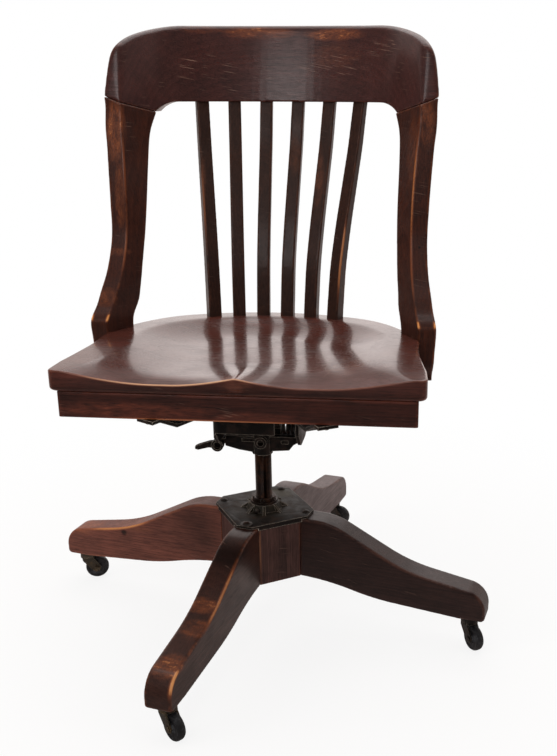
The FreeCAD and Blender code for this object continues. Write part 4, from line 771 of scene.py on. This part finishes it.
        # Halfway up the upright part of the edge, over the rounded arris
        start.z = (self.top - self.thick + 1.5 * self.lower_round) * MM
        line = []
        for step in range(self.outline_points):
            turn = 2.0 * math.pi * step / self.outline_points
            way = Vector((math.cos(turn), math.sin(turn), 0.0))
            hit, _, _, _ = tree.ray_cast(start + way * (self.ray_start * MM), -way)
            line.append(Vector((hit.x, hit.y, 0.0)))
        return line

    def make_board(self) -> Piece:
        """Model the board: a ring at its outline, drawn in loop by loop and hollowed.

        Returns:
            The finished seat board.
        """
        line = self._edge_line()
        Bench.clear()
        bpy.ops.mesh.primitive_circle_add(
            vertices=self.outline_points, radius=self.half_width * MM, fill_type="NOTHING")
        piece = bpy.context.object
        piece.name = piece.data.name = self.board_fitting.name
        for vertex, place in zip(piece.data.vertices, line):
            vertex.co = place
        middle = metres(self.middle)
        turns = [math.pi / 2.0 * step / self.arris_steps for step in range(1, self.arris_steps + 1)]
        insets = [self.arris * (1.0 - math.cos(turn)) for turn in turns] + list(self.rim_insets)
        shares = [1.0 - inset / self.mean_reach for inset in insets]
        shares += [self.top_share - self.top_share_step * step for step in range(self.top_loops)]
        bpy.ops.object.mode_set(mode="EDIT")
        bpy.ops.mesh.select_all(action="SELECT")
        last = 1.0
        for share in shares:
            bpy.ops.mesh.extrude_region_move()
            bpy.ops.transform.resize(value=(share / last, share / last, 1.0), center_override=middle)
            last = share
        bpy.ops.mesh.merge(type="CENTER")
        bpy.ops.object.mode_set(mode="OBJECT")
        self._hollow(piece, line)
        self._close_below(piece, middle)
        Bench.take(piece)
        bpy.ops.object.mode_set(mode="EDIT")
        bpy.ops.mesh.select_all(action="SELECT")
        bpy.ops.mesh.normals_make_consistent(inside=False)
        bpy.ops.object.mode_set(mode="OBJECT")
        bpy.ops.object.shade_smooth()
        Bench.note_wear(piece, self.full_wear)
        return piece

    def _hollow(self, piece: Piece, line: list[Vector]) -> None:
        """Drop every point of the flat board to the saddle, and round the arris off.

        Args:
            piece: The board as one flat sheet of loops.
            line: The board's edge in plan, in metres.
        """
        middle = metres(self.middle)
        for vertex in piece.data.vertices:
            x, y = vertex.co.x / MM, vertex.co.y / MM
            turn = math.atan2(vertex.co.y - middle.y, vertex.co.x - middle.x)
            edge = line[round(turn / (2.0 * math.pi) * self.outline_points) % self.outline_points]
            full = math.hypot(edge.x - middle.x, edge.y - middle.y)
            here = math.hypot(vertex.co.x - middle.x, vertex.co.y - middle.y)
            inset = max(0.0, (1.0 - here / full) * self.mean_reach)
            drop = 0.0
            if inset < self.arris:
                drop = self.arris - math.sqrt(self.arris ** 2 - (self.arris - inset) ** 2)
            vertex.co.z = (self.top - self.sunk(x, max(y, self.front)) - drop) * MM

    def _close_below(self, piece: Piece, middle: Vector) -> None:
        """Draw the outer loop down to a rounded lower edge and close the underside.

        Args:
            piece: The hollowed board.
            middle: The point in plan that the loops are drawn in towards, in metres.
        """
        bottom = self.top - self.thick
        count = self.outline_points
        turns = [math.pi / 2.0 * step / self.lower_steps for step in range(1, self.lower_steps + 1)]
        rounds = [(bottom + self.lower_round * (1.0 - math.sin(turn)),
                   1.0 - self.lower_round * (1.0 - math.cos(turn)) / self.mean_reach) for turn in turns]
        # The first two loops follow the arris down, so that its wear ends just below it
        loops = [(None, 1.0), (None, 1.0), (bottom + self.lower_round, 1.0)] + rounds
        loops += [(bottom, share) for share in self.bottom_shares]
        Bench.take(piece)
        for vertex in piece.data.vertices:
            vertex.select = vertex.index < count
        for edge in piece.data.edges:
            edge.select = edge.vertices[0] < count and edge.vertices[1] < count
        last = 1.0
        for level, share in loops:
            bpy.ops.object.mode_set(mode="EDIT")
            bpy.ops.mesh.extrude_edges_move()
            bpy.ops.transform.resize(value=(share / last, share / last, 1.0), center_override=middle)
            bpy.ops.object.mode_set(mode="OBJECT")
            for vertex in piece.data.vertices:
                if vertex.select:
                    vertex.co.z = level * MM if level else vertex.co.z - self.arris_drop * MM
            last = share
        bpy.ops.object.mode_set(mode="EDIT")
        bpy.ops.mesh.merge(type="CENTER")
        bpy.ops.object.mode_set(mode="OBJECT")

    def build(self) -> None:
        """Make and fit the board and the four apron rails."""
        Bench.fit(self.make_board(), self.board_fitting, self.board.build())
        finish = self.apron.build()
        for rail in ("front", "left", "right", "rear"):
            fitting = Fitting("apron_" + rail, "apron_rail_" + rail, "seat", "apron_wood")
            Bench.make_rubbed(fitting, finish, self.rail_skin)


@dataclass
class SlattedBack:
    """Two shaped posts, six bent slats and the wide curved crest rail."""

    slat_count: int = 6
    post_skin: Skin = Skin(1.3, 2)
    slat_skin: Skin = Skin(1.3, 2)
    # The crest's shoulders are rubbed rounder than its arrises
    crest_skin: Skin = Skin(1.7, 3, rounder=(
        Spot((-246.0, 135.0, 880.0), (74.0, 90.0, 90.0)), Spot((246.0, 135.0, 880.0), (74.0, 90.0, 90.0))))
    crease: float = 30.0
    # Sanded and shellacked rail: dark ribbons under a gloss, scratched, bare along its top edge, with a painted
    # highlight on the middle of its face
    crest: StainedWood = StainedWood(
        "stained_crest_shellac", ground="#52302c", ribbon="#2f1918", rubbed="#86492c", bare="#c8824c",
        pith=(0.0, 330.0, 700.0), ring_width=9.0, figure=0.5, polish=0.3, shellac=0.3, arris=0.2, scuffs=0.5,
        wear_and_sheen=(Spot((84.0, 270.0, 905.0), (72.0, 34.0, 13.0), 1.0),
              Spot((-42.0, 282.0, 908.0), (84.0, 34.0, 13.0), 0.9),
              Spot((-130.0, 262.0, 912.0), (60.0, 34.0, 9.0), 0.45),
              # Painted highlight: a soft pale sheen on the middle of the face
              Spot((85.0, 262.0, 872.0), (70.0, 40.0, 30.0), 0.3)),
        scratched=(Spot((-128.0, 248.0, 852.0), (84.0, 44.0, 30.0), 1.0),
                   Spot((-45.0, 262.0, 842.0), (44.0, 40.0, 12.0), 0.9),
                   Spot((90.0, 262.0, 858.0), (80.0, 40.0, 34.0), 0.6),
                   Spot((165.0, 220.0, 884.0), (50.0, 50.0, 22.0), 0.6)))
    # Shaped posts, grain upright: dark, and amber where hands and coats have rubbed them
    post: StainedWood = StainedWood(
        "stained_post_shellac", ground="#4c271b", ribbon="#291410", rubbed="#8a4a28", bare="#dc9552", figure=0.6,
        grain=Grain.UPRIGHT, pith=(180.0, 60.0, 640.0), ring_width=6.0, polish=0.33, arris=0.3,
        wear_and_sheen=(Spot((-240.0, 118.0, 765.0), (20.0, 30.0, 90.0), 0.8),
              Spot((-232.0, 98.0, 660.0), (12.0, 30.0, 80.0), 0.55),
              Spot((-238.0, 76.0, 577.0), (32.0, 20.0, 8.0), 0.6),
              Spot((-245.0, 34.0, 512.0), (24.0, 22.0, 24.0), 0.5),
              Spot((242.0, 124.0, 778.0), (18.0, 30.0, 66.0), 0.5),
              Spot((222.0, 120.0, 730.0), (14.0, 70.0, 100.0), 0.3)),
        arris_wear_and_glint=(Spot((-232.0, 70.0, 590.0), (16.0, 60.0, 60.0), 1.0),
                      Spot((-229.0, 100.0, 700.0), (14.0, 60.0, 80.0), 0.45),
                      Spot((227.0, 80.0, 645.0), (14.0, 110.0, 200.0), 0.7),
                      Spot((-248.0, 11.0, 486.0), (40.0, 16.0, 9.0), 1.0),
                      Spot((248.0, 11.0, 486.0), (40.0, 16.0, 9.0), 1.0)),
        stains_and_shade=(Spot((235.8, 80.9, 590.8), (2.6, 4.0, 2.6), 1.0),))
    # Steam-bent slats under thin shellac: browner and duller than the crest
    slat: StainedWood = StainedWood(
        "stained_slat_shellac", ground="#40281f", ribbon="#261611", rubbed="#74422a", bare="#c98652",
        grain=Grain.UPRIGHT, pith=(-30.0, 200.0, 640.0), ring_width=5.0, polish=0.34, shellac=0.1, arris=0.22,
        wear_and_sheen=(Spot((-124.0, 180.0, 630.0), (9.0, 60.0, 170.0), 0.6),
              Spot((24.0, 215.0, 730.0), (16.0, 40.0, 60.0), 0.5),
              Spot((66.0, 200.0, 700.0), (14.0, 50.0, 90.0), 0.5)),
        arris_wear_and_glint=(Spot((-120.0, 180.0, 620.0), (14.0, 70.0, 190.0), 0.6),
                      Spot((110.0, 150.0, 560.0), (12.0, 60.0, 130.0), 0.8)))
    # Turned plugs, whose end grain drinks the stain: almost black, with close rings
    plug: StainedWood = StainedWood(
        "stained_plug_end_grain", ground="#2c1610", ribbon="#1d0e0a", rubbed="#5a3420", bare="#7a4a2c",
        pith=(250.0, 20.0, 420.0), ring_width=1.6, polish=0.45)
    # Cut steel, blackened in oil: dark with grey corners
    steel: AgedMetal = AgedMetal("blackened_screw_steel", skin="#2a2522", metal="#7d766d", rust_share=0.4)

    def build(self) -> None:
        """Make and fit the posts, slats, crest, plugs and screws."""
        post = self.post.build()
        for side in ("left", "right"):
            fitting = Fitting("back_post_" + side, "shaped_post_" + side, "seat", "frame_wood")
            Bench.make_rubbed(fitting, post, self.post_skin)
        slat = self.slat.build()
        for number in range(1, self.slat_count + 1):
            fitting = Fitting(f"slat_{number}", f"bent_slat_{number}", "seat", "frame_wood")
            Bench.make_rubbed(fitting, slat, self.slat_skin)
        fitting = Fitting("crest_rail", "curved_crest_rail", "seat", "frame_wood")
        Bench.make_rubbed(fitting, self.crest.build(), self.crest_skin)
        fitting = Fitting("post_plugs", "flush_post_plugs", "seat", "plug_wood")
        Bench.make_plain(fitting, self.plug.build(), self.crease)
        fitting = Fitting("post_screws", "hidden_post_screws", "seat", "screw_steel")
        Bench.make_plain(fitting, self.steel.build(), self.crease)


@dataclass
class Ironwork:
    """The tilt mechanism, the spindle with its nut, and the base plate's iron.

    The springs keep a share of their height over their foot when the seat is tilted. Castings
    Castings are eased at corners over an angle in degrees, after nearly flat faces are joined.
    """

    castings: tuple[Fitting, ...] = (
        Fitting("tilt_housing", "cast_tilt_housing", "seat", "black_iron"),
        Fitting("tilt_yoke", "cast_tilt_yoke", "column", "black_iron"),
        Fitting("base_casting", "cast_base_plate", "base", "black_iron"),
        Fitting("seat_arm_left", "forged_seat_arm_left", "seat", "black_iron"),
        Fitting("seat_arm_right", "forged_seat_arm_right", "seat", "black_iron"),
        Fitting("tilt_lock_lever", "cast_lock_lever", "lock_lever", "black_iron"))
    turned: tuple[Fitting, ...] = (
        Fitting("spindle", "turned_spindle", "column", "worn_steel"),
        Fitting("swivel_sleeve", "turned_swivel_sleeve", "swivel", "worn_steel"),
        Fitting("height_nut", "notched_height_nut", "nut", "worn_steel"),
        Fitting("tilt_shaft", "turned_tilt_shaft", "seat", "worn_steel"),
        Fitting("shaft_nuts", "hexagon_shaft_nuts", "seat", "worn_steel"),
        Fitting("housing_bolts", "hexagon_housing_bolts", "seat", "worn_steel"))
    screws: tuple[Fitting, ...] = (
        Fitting("seat_arm_screws", "slotted_arm_screws", "seat", "screw_steel"),
        Fitting("plate_screws", "slotted_plate_screws", "base", "screw_steel"),
        Fitting("plate_washer", "flat_plate_washer", "base", "screw_steel"),
        Fitting("set_screw", "square_set_screw", "base", "screw_steel"),
        Fitting("spindle_lock_screw", "slotted_lock_screw", "column", "screw_steel"),
        Fitting("caster_sockets", "pressed_caster_sockets", "base", "screw_steel"))
    springs: tuple[Fitting, ...] = (
        Fitting("torsion_spring_left", "wound_spring_left", "column", "spring_steel"),
        Fitting("torsion_spring_right", "wound_spring_right", "column", "spring_steel"))
    spring_foot: Triple = (0.0, 8.0, 308.0)
    spring_kept: float = 0.84
    casting_ease: float = 0.5
    flat_angle: float = 0.6
    corner_angle: float = 38.0
    crease: float = 34.0
    # Sand-cast iron under old japan: pebbled and near-black, grey where its corners are rubbed
    casting: AgedMetal = AgedMetal(
        "japanned_cast_iron", skin="#15100e", rust="#2c1e18", metal="#a59b8e", metallic=0.0, shine=0.46, pebble=1.8,
        gloss=0.22, rub=1.0, rub_width=1.8,
        dusty=(Spot((12.0, 52.0, 187.0), (44.0, 26.0, 10.0), 1.0), Spot((0.0, 0.0, 190.0), (90.0, 90.0, 8.0), 0.5)))
    # Turned steel, oiled: smooth, brown-black with a low shine and clouds of rust
    steel: AgedMetal = AgedMetal(
        "oiled_turned_steel", skin="#271b17", rust="#50301f", metal="#8a8078", rust_share=0.55, shine=0.34,
        metallic=0.6, pebble=0.9, relief=0.12)
    # Cut steel, blackened in oil: dark with grey corners
    screw: AgedMetal = AgedMetal("blackened_slotted_steel", skin="#26201d", metal="#83796e", metallic=0.5, relief=0.1)
    # Drawn wire, blackened in oil: black with a fine sheen
    spring: AgedMetal = AgedMetal(
        "oil_blackened_spring_wire", skin="#191512", rust="#38251a", metallic=0.6, shine=0.3, relief=0.08)

    def _cast(self) -> None:
        """Make each casting and forging, its sharp corners eased, and fit it."""
        material = self.casting.build()
        for fitting in self.castings:
            piece = Bench.copy_of(fitting)
            Bench.take(piece)
            bpy.ops.object.mode_set(mode="EDIT")
            bpy.ops.mesh.select_all(action="SELECT")
            bpy.ops.mesh.dissolve_limited(angle_limit=math.radians(self.flat_angle))
            bpy.ops.object.mode_set(mode="OBJECT")
            Bench.apply(
                piece, "BEVEL", width=self.casting_ease * MM, segments=2, limit_method="ANGLE",
                angle_limit=math.radians(self.corner_angle), use_clamp_overlap=True)
            Bench.smooth(piece, self.crease)
            Bench.fit(piece, fitting, material)

    def build(self) -> None:
        """Make and fit all the iron and steel above the casters."""
        self._cast()
        for group, finish in ((self.turned, self.steel), (self.screws, self.screw), (self.springs, self.spring)):
            material = finish.build()
            for fitting in group:
                Bench.make_plain(fitting, material, self.crease)
        # Each spring gets a mesh of its own
        for fitting in self.springs:
            spring = bpy.data.objects[fitting.name]
            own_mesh(spring)


@dataclass
class LeggedBase:
    """The hub block and its four shaped legs."""

    hub_skin: Skin = Skin(1.5, 2)
    leg_skin: Skin = Skin(1.6, 2)
    crease: float = 30.0
    # Sawn block, grain upright, hardly any shellac: dusty red-brown with close rings
    hub: StainedWood = StainedWood(
        "stained_hub_block", ground="#5a3a34", ribbon="#2c1a17", rubbed="#7d5038", bare="#b98a62",
        grain=Grain.UPRIGHT, pith=(52.0, -84.0, 110.0), ring_width=2.6, ring_length=34.0, polish=0.45,
        shellac=0.05, arris_wear_and_glint=(Spot((5.6, -69.0, 145.0), (6.0, 6.0, 60.0), 0.9),))
    # Four legs band-sawn from four boards: the rear one greyed, the front one dark with its stain
    # rubbed through, the left one rubbed along its arrises. The left one's red is painted lighter and
    # the right one is painted near-black, as painted light and painted shade falling from the left
    right: StainedWood = StainedWood(
        "stained_leg_right_painted_shade", ground="#38231f", ribbon="#1f1211", rubbed="#5c3a2e", bare="#8f6046",
        grain=Grain.LEG_RIGHT, pith=(200.0, -60.0, 40.0), ring_width=6.0, polish=0.36,
        arris_wear_and_glint=(Spot((220.0, -70.0, 125.0), (150.0, 50.0, 50.0), 0.45),))
    rear: StainedWood = StainedWood(
        "stained_leg_rear", ground="#54393a", ribbon="#3a2928", rubbed="#7c5848", bare="#a07048",
        grain=Grain.LEG_REAR, pith=(60.0, 200.0, 40.0), ring_width=6.0, polish=0.42, shellac=0.15)
    # Painted light: this leg's ground colour is lighter, as light falls from the left
    left: StainedWood = StainedWood(
        "stained_leg_left_painted_lit", ground="#80493b", ribbon="#4c2a22", rubbed="#a05e3e", bare="#c88850", figure=0.5,
        grain=Grain.LEG_LEFT, pith=(-200.0, 60.0, 40.0), ring_width=6.0, polish=0.42, shellac=0.05,
        wear_and_sheen=(Spot((-335.0, 66.0, 112.0), (60.0, 60.0, 26.0), 0.7),
              Spot((-240.0, 50.0, 122.0), (120.0, 40.0, 14.0), 0.4)),
        arris_wear_and_glint=(Spot((-260.0, 50.0, 125.0), (130.0, 50.0, 40.0), 0.9),),
        stains_and_shade=(Spot((-248.0, 38.0, 109.0), (7.0, 9.0, 8.0), 0.8),
                 Spot((-110.0, 20.0, 140.0), (60.0, 60.0, 60.0), 0.45)))
    front: StainedWood = StainedWood(
        "stained_leg_front", ground="#462b23", ribbon="#281713", rubbed="#84482a", bare="#cf8f58",
        grain=Grain.LEG_FRONT, pith=(-60.0, -200.0, 40.0), ring_width=6.0, polish=0.34, shellac=0.2,
        blotch=(6.0, 20.0, 9.0),
        wear_and_sheen=(Spot((-54.0, -214.0, 129.0), (36.0, 26.0, 10.0), 0.9),
              Spot((-52.0, -256.0, 116.0), (36.0, 30.0, 10.0), 0.7),
              Spot((-72.0, -330.0, 103.0), (40.0, 40.0, 12.0), 0.9)),
        arris_wear_and_glint=(Spot((-62.0, -346.0, 96.0), (36.0, 24.0, 34.0), 1.0),
                      Spot((-30.0, -200.0, 140.0), (30.0, 130.0, 60.0), 0.75)),
        stains_and_shade=(Spot((-30.0, -140.0, 168.0), (50.0, 60.0, 14.0), 0.75),))

    def build(self) -> None:
        """Make and fit the hub, the legs and the dowels."""
        block = self.hub.build()
        Bench.make_rubbed(Fitting("hub_block", "square_hub_block", "base", "leg_wood"), block, self.hub_skin)
        finishes = {Corner.RIGHT: self.right, Corner.REAR: self.rear, Corner.LEFT: self.left, Corner.FRONT: self.front}
        for corner, finish in finishes.items():
            leg = "leg_" + corner.value
            Bench.make_rubbed(Fitting(leg, "shaped_" + leg, "base", "leg_wood"), finish.build(), self.leg_skin)
        Bench.make_plain(Fitting("leg_dowels", "hidden_leg_dowels", "base", "plug_wood"), block, self.crease)


@dataclass
class PlateCasters:
    """Four small casters: a one-sided horn, its stem, axle and wheel."""

    crease: float = 32.0
    # Pressed steel, tarnished: khaki grey with a low sheen
    horn: AgedMetal = AgedMetal(
        "tarnished_pressed_steel", skin="#3a342b", rust="#5b4a34", metal="#a0927c", metallic=0.55, shine=0.36,
        pebble=1.2, relief=0.1)
    # Pressed steel, blackened: near-black with brown specks
    dark_horn: AgedMetal = AgedMetal(
        "blackened_pressed_steel", skin="#1d1a18", rust="#3a2c22", metal="#83796d", metallic=0.5, relief=0.1)
    # Moulded hard rubber, no metal, though it wears as old paint does: dull charcoal, scuffed grey
    wheel: AgedMetal = AgedMetal(
        "hard_rubber_composition", skin="#17171a", rust="#3e4044", metal="#55585c", metallic=0.0, shine=0.5,
        pebble=0.8, relief=0.15, rust_share=0.35, rub=0.5)

    def build(self) -> None:
        """Make and fit the four casters."""
        khaki = self.horn.build()
        black = self.dark_horn.build()
        rubber = self.wheel.build()
        for corner in Corner:
            where = corner.value
            metal = khaki if corner in (Corner.LEFT, Corner.FRONT) else black
            for part in ("horn", "stem", "axle"):
                node = f"caster_{part}_{where}"
                fitting = Fitting(node, "plate_" + node, "caster_" + where, "caster_steel")
                Bench.make_plain(fitting, metal, self.crease)
            node = "caster_wheel_" + where
            fitting = Fitting(node, "plate_" + node, "wheel_" + where, "wheel_composition")
            Bench.make_plain(fitting, rubber, self.crease)


@dataclass(frozen=True)
class Lamp:
    """A square softbox: where it hangs and looks in metres, its side, and its power in watts."""

    name: str
    place: Triple
    target: Triple
    side: float
    watts: float
    mirrored: bool = True

    def hang(self) -> None:
        """Hang the lamp, out of the camera's sight and, if it isn't mirrored, out of reflections."""
        data = bpy.data.lights.new(self.name, "AREA")
        data.size = self.side
        data.energy = self.watts
        lamp = bpy.data.objects.new(self.name, data)
        lamp.location = self.place
        lamp.visible_camera = False
        lamp.visible_glossy = self.mirrored
        lamp.rotation_euler = (Vector(self.target) - Vector(self.place)).to_track_quat("-Z", "Y").to_euler()
        bpy.context.scene.collection.objects.link(lamp)


@dataclass
class Studio:
    """The pale floor, the soft lamps and the camera at the photograph's angle, in metres."""

    floor_half: float = 30.0
    shadow_start: float = 0.35
    shadow_reach: float = 1.1
    veil: float = 0.86
    sky_light: float = 0.42
    # What gloss mirrors is bright behind the chair and dim before it
    glow_behind: float = 0.85
    glow_before: float = 0.04
    warm_white: str = "#fff0ea"
    lamps: tuple[Lamp, ...] = (
        Lamp("overhead_softbox", (0.0, 0.5, 2.4), (0.0, 0.0, 0.45), 2.2, 30.0),
        Lamp("rear_wall_light", (0.0, 3.0, 1.6), (0.0, 0.0, 0.5), 2.6, 12.0),
        Lamp("front_window", (-0.5, -2.1, 1.9), (0.0, 0.0, 0.6), 0.8, 8.0),
        Lamp("left_fill", (-2.2, -1.0, 1.5), (0.0, 0.0, 0.45), 1.4, 18.0, mirrored=False),
        Lamp("right_fill", (2.4, -0.8, 1.8), (0.0, 0.0, 0.5), 1.2, 9.0, mirrored=False))
    camera_place: Triple = (0.25017, -1.36419, 0.82396)
    camera_turn: Triple = (71.83, -0.16, 4.973)
    lens: float = 60.96
    shift: tuple[float, float] = (-0.1236, 0.0329)

    def build(self) -> None:
        """Lay the floor, hang the lamps and set the camera."""
        self._floor()
        self._world()
        for lamp in self.lamps:
            lamp.hang()
        self._camera()

    def _floor(self) -> None:
        """A plain pale floor that keeps the shadow and shows white to the camera."""
        Bench.clear()
        bpy.ops.mesh.primitive_plane_add(size=2.0 * self.floor_half)
        floor = bpy.context.object
        floor.name = "pale_floor"
        material = blank_material("matt_white_paper")
        tree = material.node_tree
        place = add_node(tree, "TexCoord", out="Object")
        far = add_node(tree, "VectorMath", (place,), "Value", operation="LENGTH")
        white = add_node(
            tree, "MapRange", (far, self.shadow_start, self.shadow_reach, self.veil, 1.0),
            interpolation_type="SMOOTHSTEP")
        seen = add_node(tree, "LightPath", out="Is Camera Ray")
        veil = add_node(tree, "Math", (seen, white), operation="MULTIPLY")
        paper = add_node(tree, "BsdfDiffuse", (linear("#f4f3f1"),))
        glow = add_node(tree, "Emission", (linear("#ffffff"), 1.0))
        lit = add_node(tree, "MixShader", (veil, paper, glow))
        y = add_node(tree, "SeparateXYZ", (place,), "Y")
        strength = add_node(
            tree, "MapRange", (y, -0.9, 0.9, self.glow_before, self.glow_behind), interpolation_type="SMOOTHSTEP")
        mirrored = add_node(tree, "Emission", (linear(self.warm_white), strength))
        both = add_node(tree, "MixShader", (self._reflected(tree), lit, mirrored))
        add_node(tree, "OutputMaterial", (both,))
        floor.data.materials.append(material)

    def _world(self) -> None:
        """Soft white all round, plain white to the camera, in reflections bright behind and dim before."""
        world = bpy.data.worlds.new("white_studio")
        world.use_nodes = True
        tree = world.node_tree
        tree.nodes.clear()
        way = add_node(tree, "TexCoord", out="Generated")
        y = add_node(tree, "SeparateXYZ", (way,), "Y")
        mirrored = add_node(
            tree, "MapRange", (y, -0.2, 0.6, self.glow_before, self.glow_behind), interpolation_type="SMOOTHSTEP")
        strength = add_node(
            tree, "Mix", {0: self._reflected(tree), 2: self.sky_light, 3: mirrored}, data_type="FLOAT")
        seen = add_node(tree, "LightPath", out="Is Camera Ray")
        strength = add_node(tree, "Mix", {0: seen, 2: strength, 3: 1.0}, data_type="FLOAT")
        tint = add_node(
            tree, "Mix", {0: seen, 6: linear(self.warm_white), 7: linear("#ffffff")}, 2, data_type="RGBA")
        sky = add_node(tree, "Background", (tint, strength))
        add_node(tree, "OutputWorld", (sky,))
        bpy.context.scene.world = world

    @staticmethod
    def _reflected(tree: Tree) -> Socket:
        """Whether a ray was mirrored by a surface or bent by a clear one.

        Args:
            tree: The node tree of the floor or the world.

        Returns:
            One for such a ray, nought for any other.
        """
        shiny = add_node(tree, "LightPath", out="Is Glossy Ray")
        clear = add_node(tree, "LightPath", out="Is Transmission Ray")
        return add_node(tree, "Math", (shiny, clear), operation="MAXIMUM")

    def _camera(self) -> None:
        """Set the camera as it stood for the photograph."""
        data = bpy.data.cameras.new("photo_camera")
        data.sensor_fit = "HORIZONTAL"
        data.sensor_width = 36.0
        data.lens = self.lens
        data.shift_x, data.shift_y = self.shift
        camera = bpy.data.objects.new("photo_camera", data)
        camera.location = self.camera_place
        camera.rotation_euler = [math.radians(a) for a in self.camera_turn]
        bpy.context.scene.collection.objects.link(camera)
        bpy.context.scene.camera = camera
        bpy.context.scene.view_settings.view_transform = "Standard"


def main() -> None:
    """Build the chair's sub-assemblies in order, then the studio."""
    logging.basicConfig(level=logging.INFO, format="%(name)s %(message)s")
    for assembly in (SaddleSeat(), SlattedBack(), Ironwork(), LeggedBase(), PlateCasters(), Studio()):
        assembly.build()
        LOG.info("%s done", type(assembly).__name__)


if __name__ == "__main__":
    main()
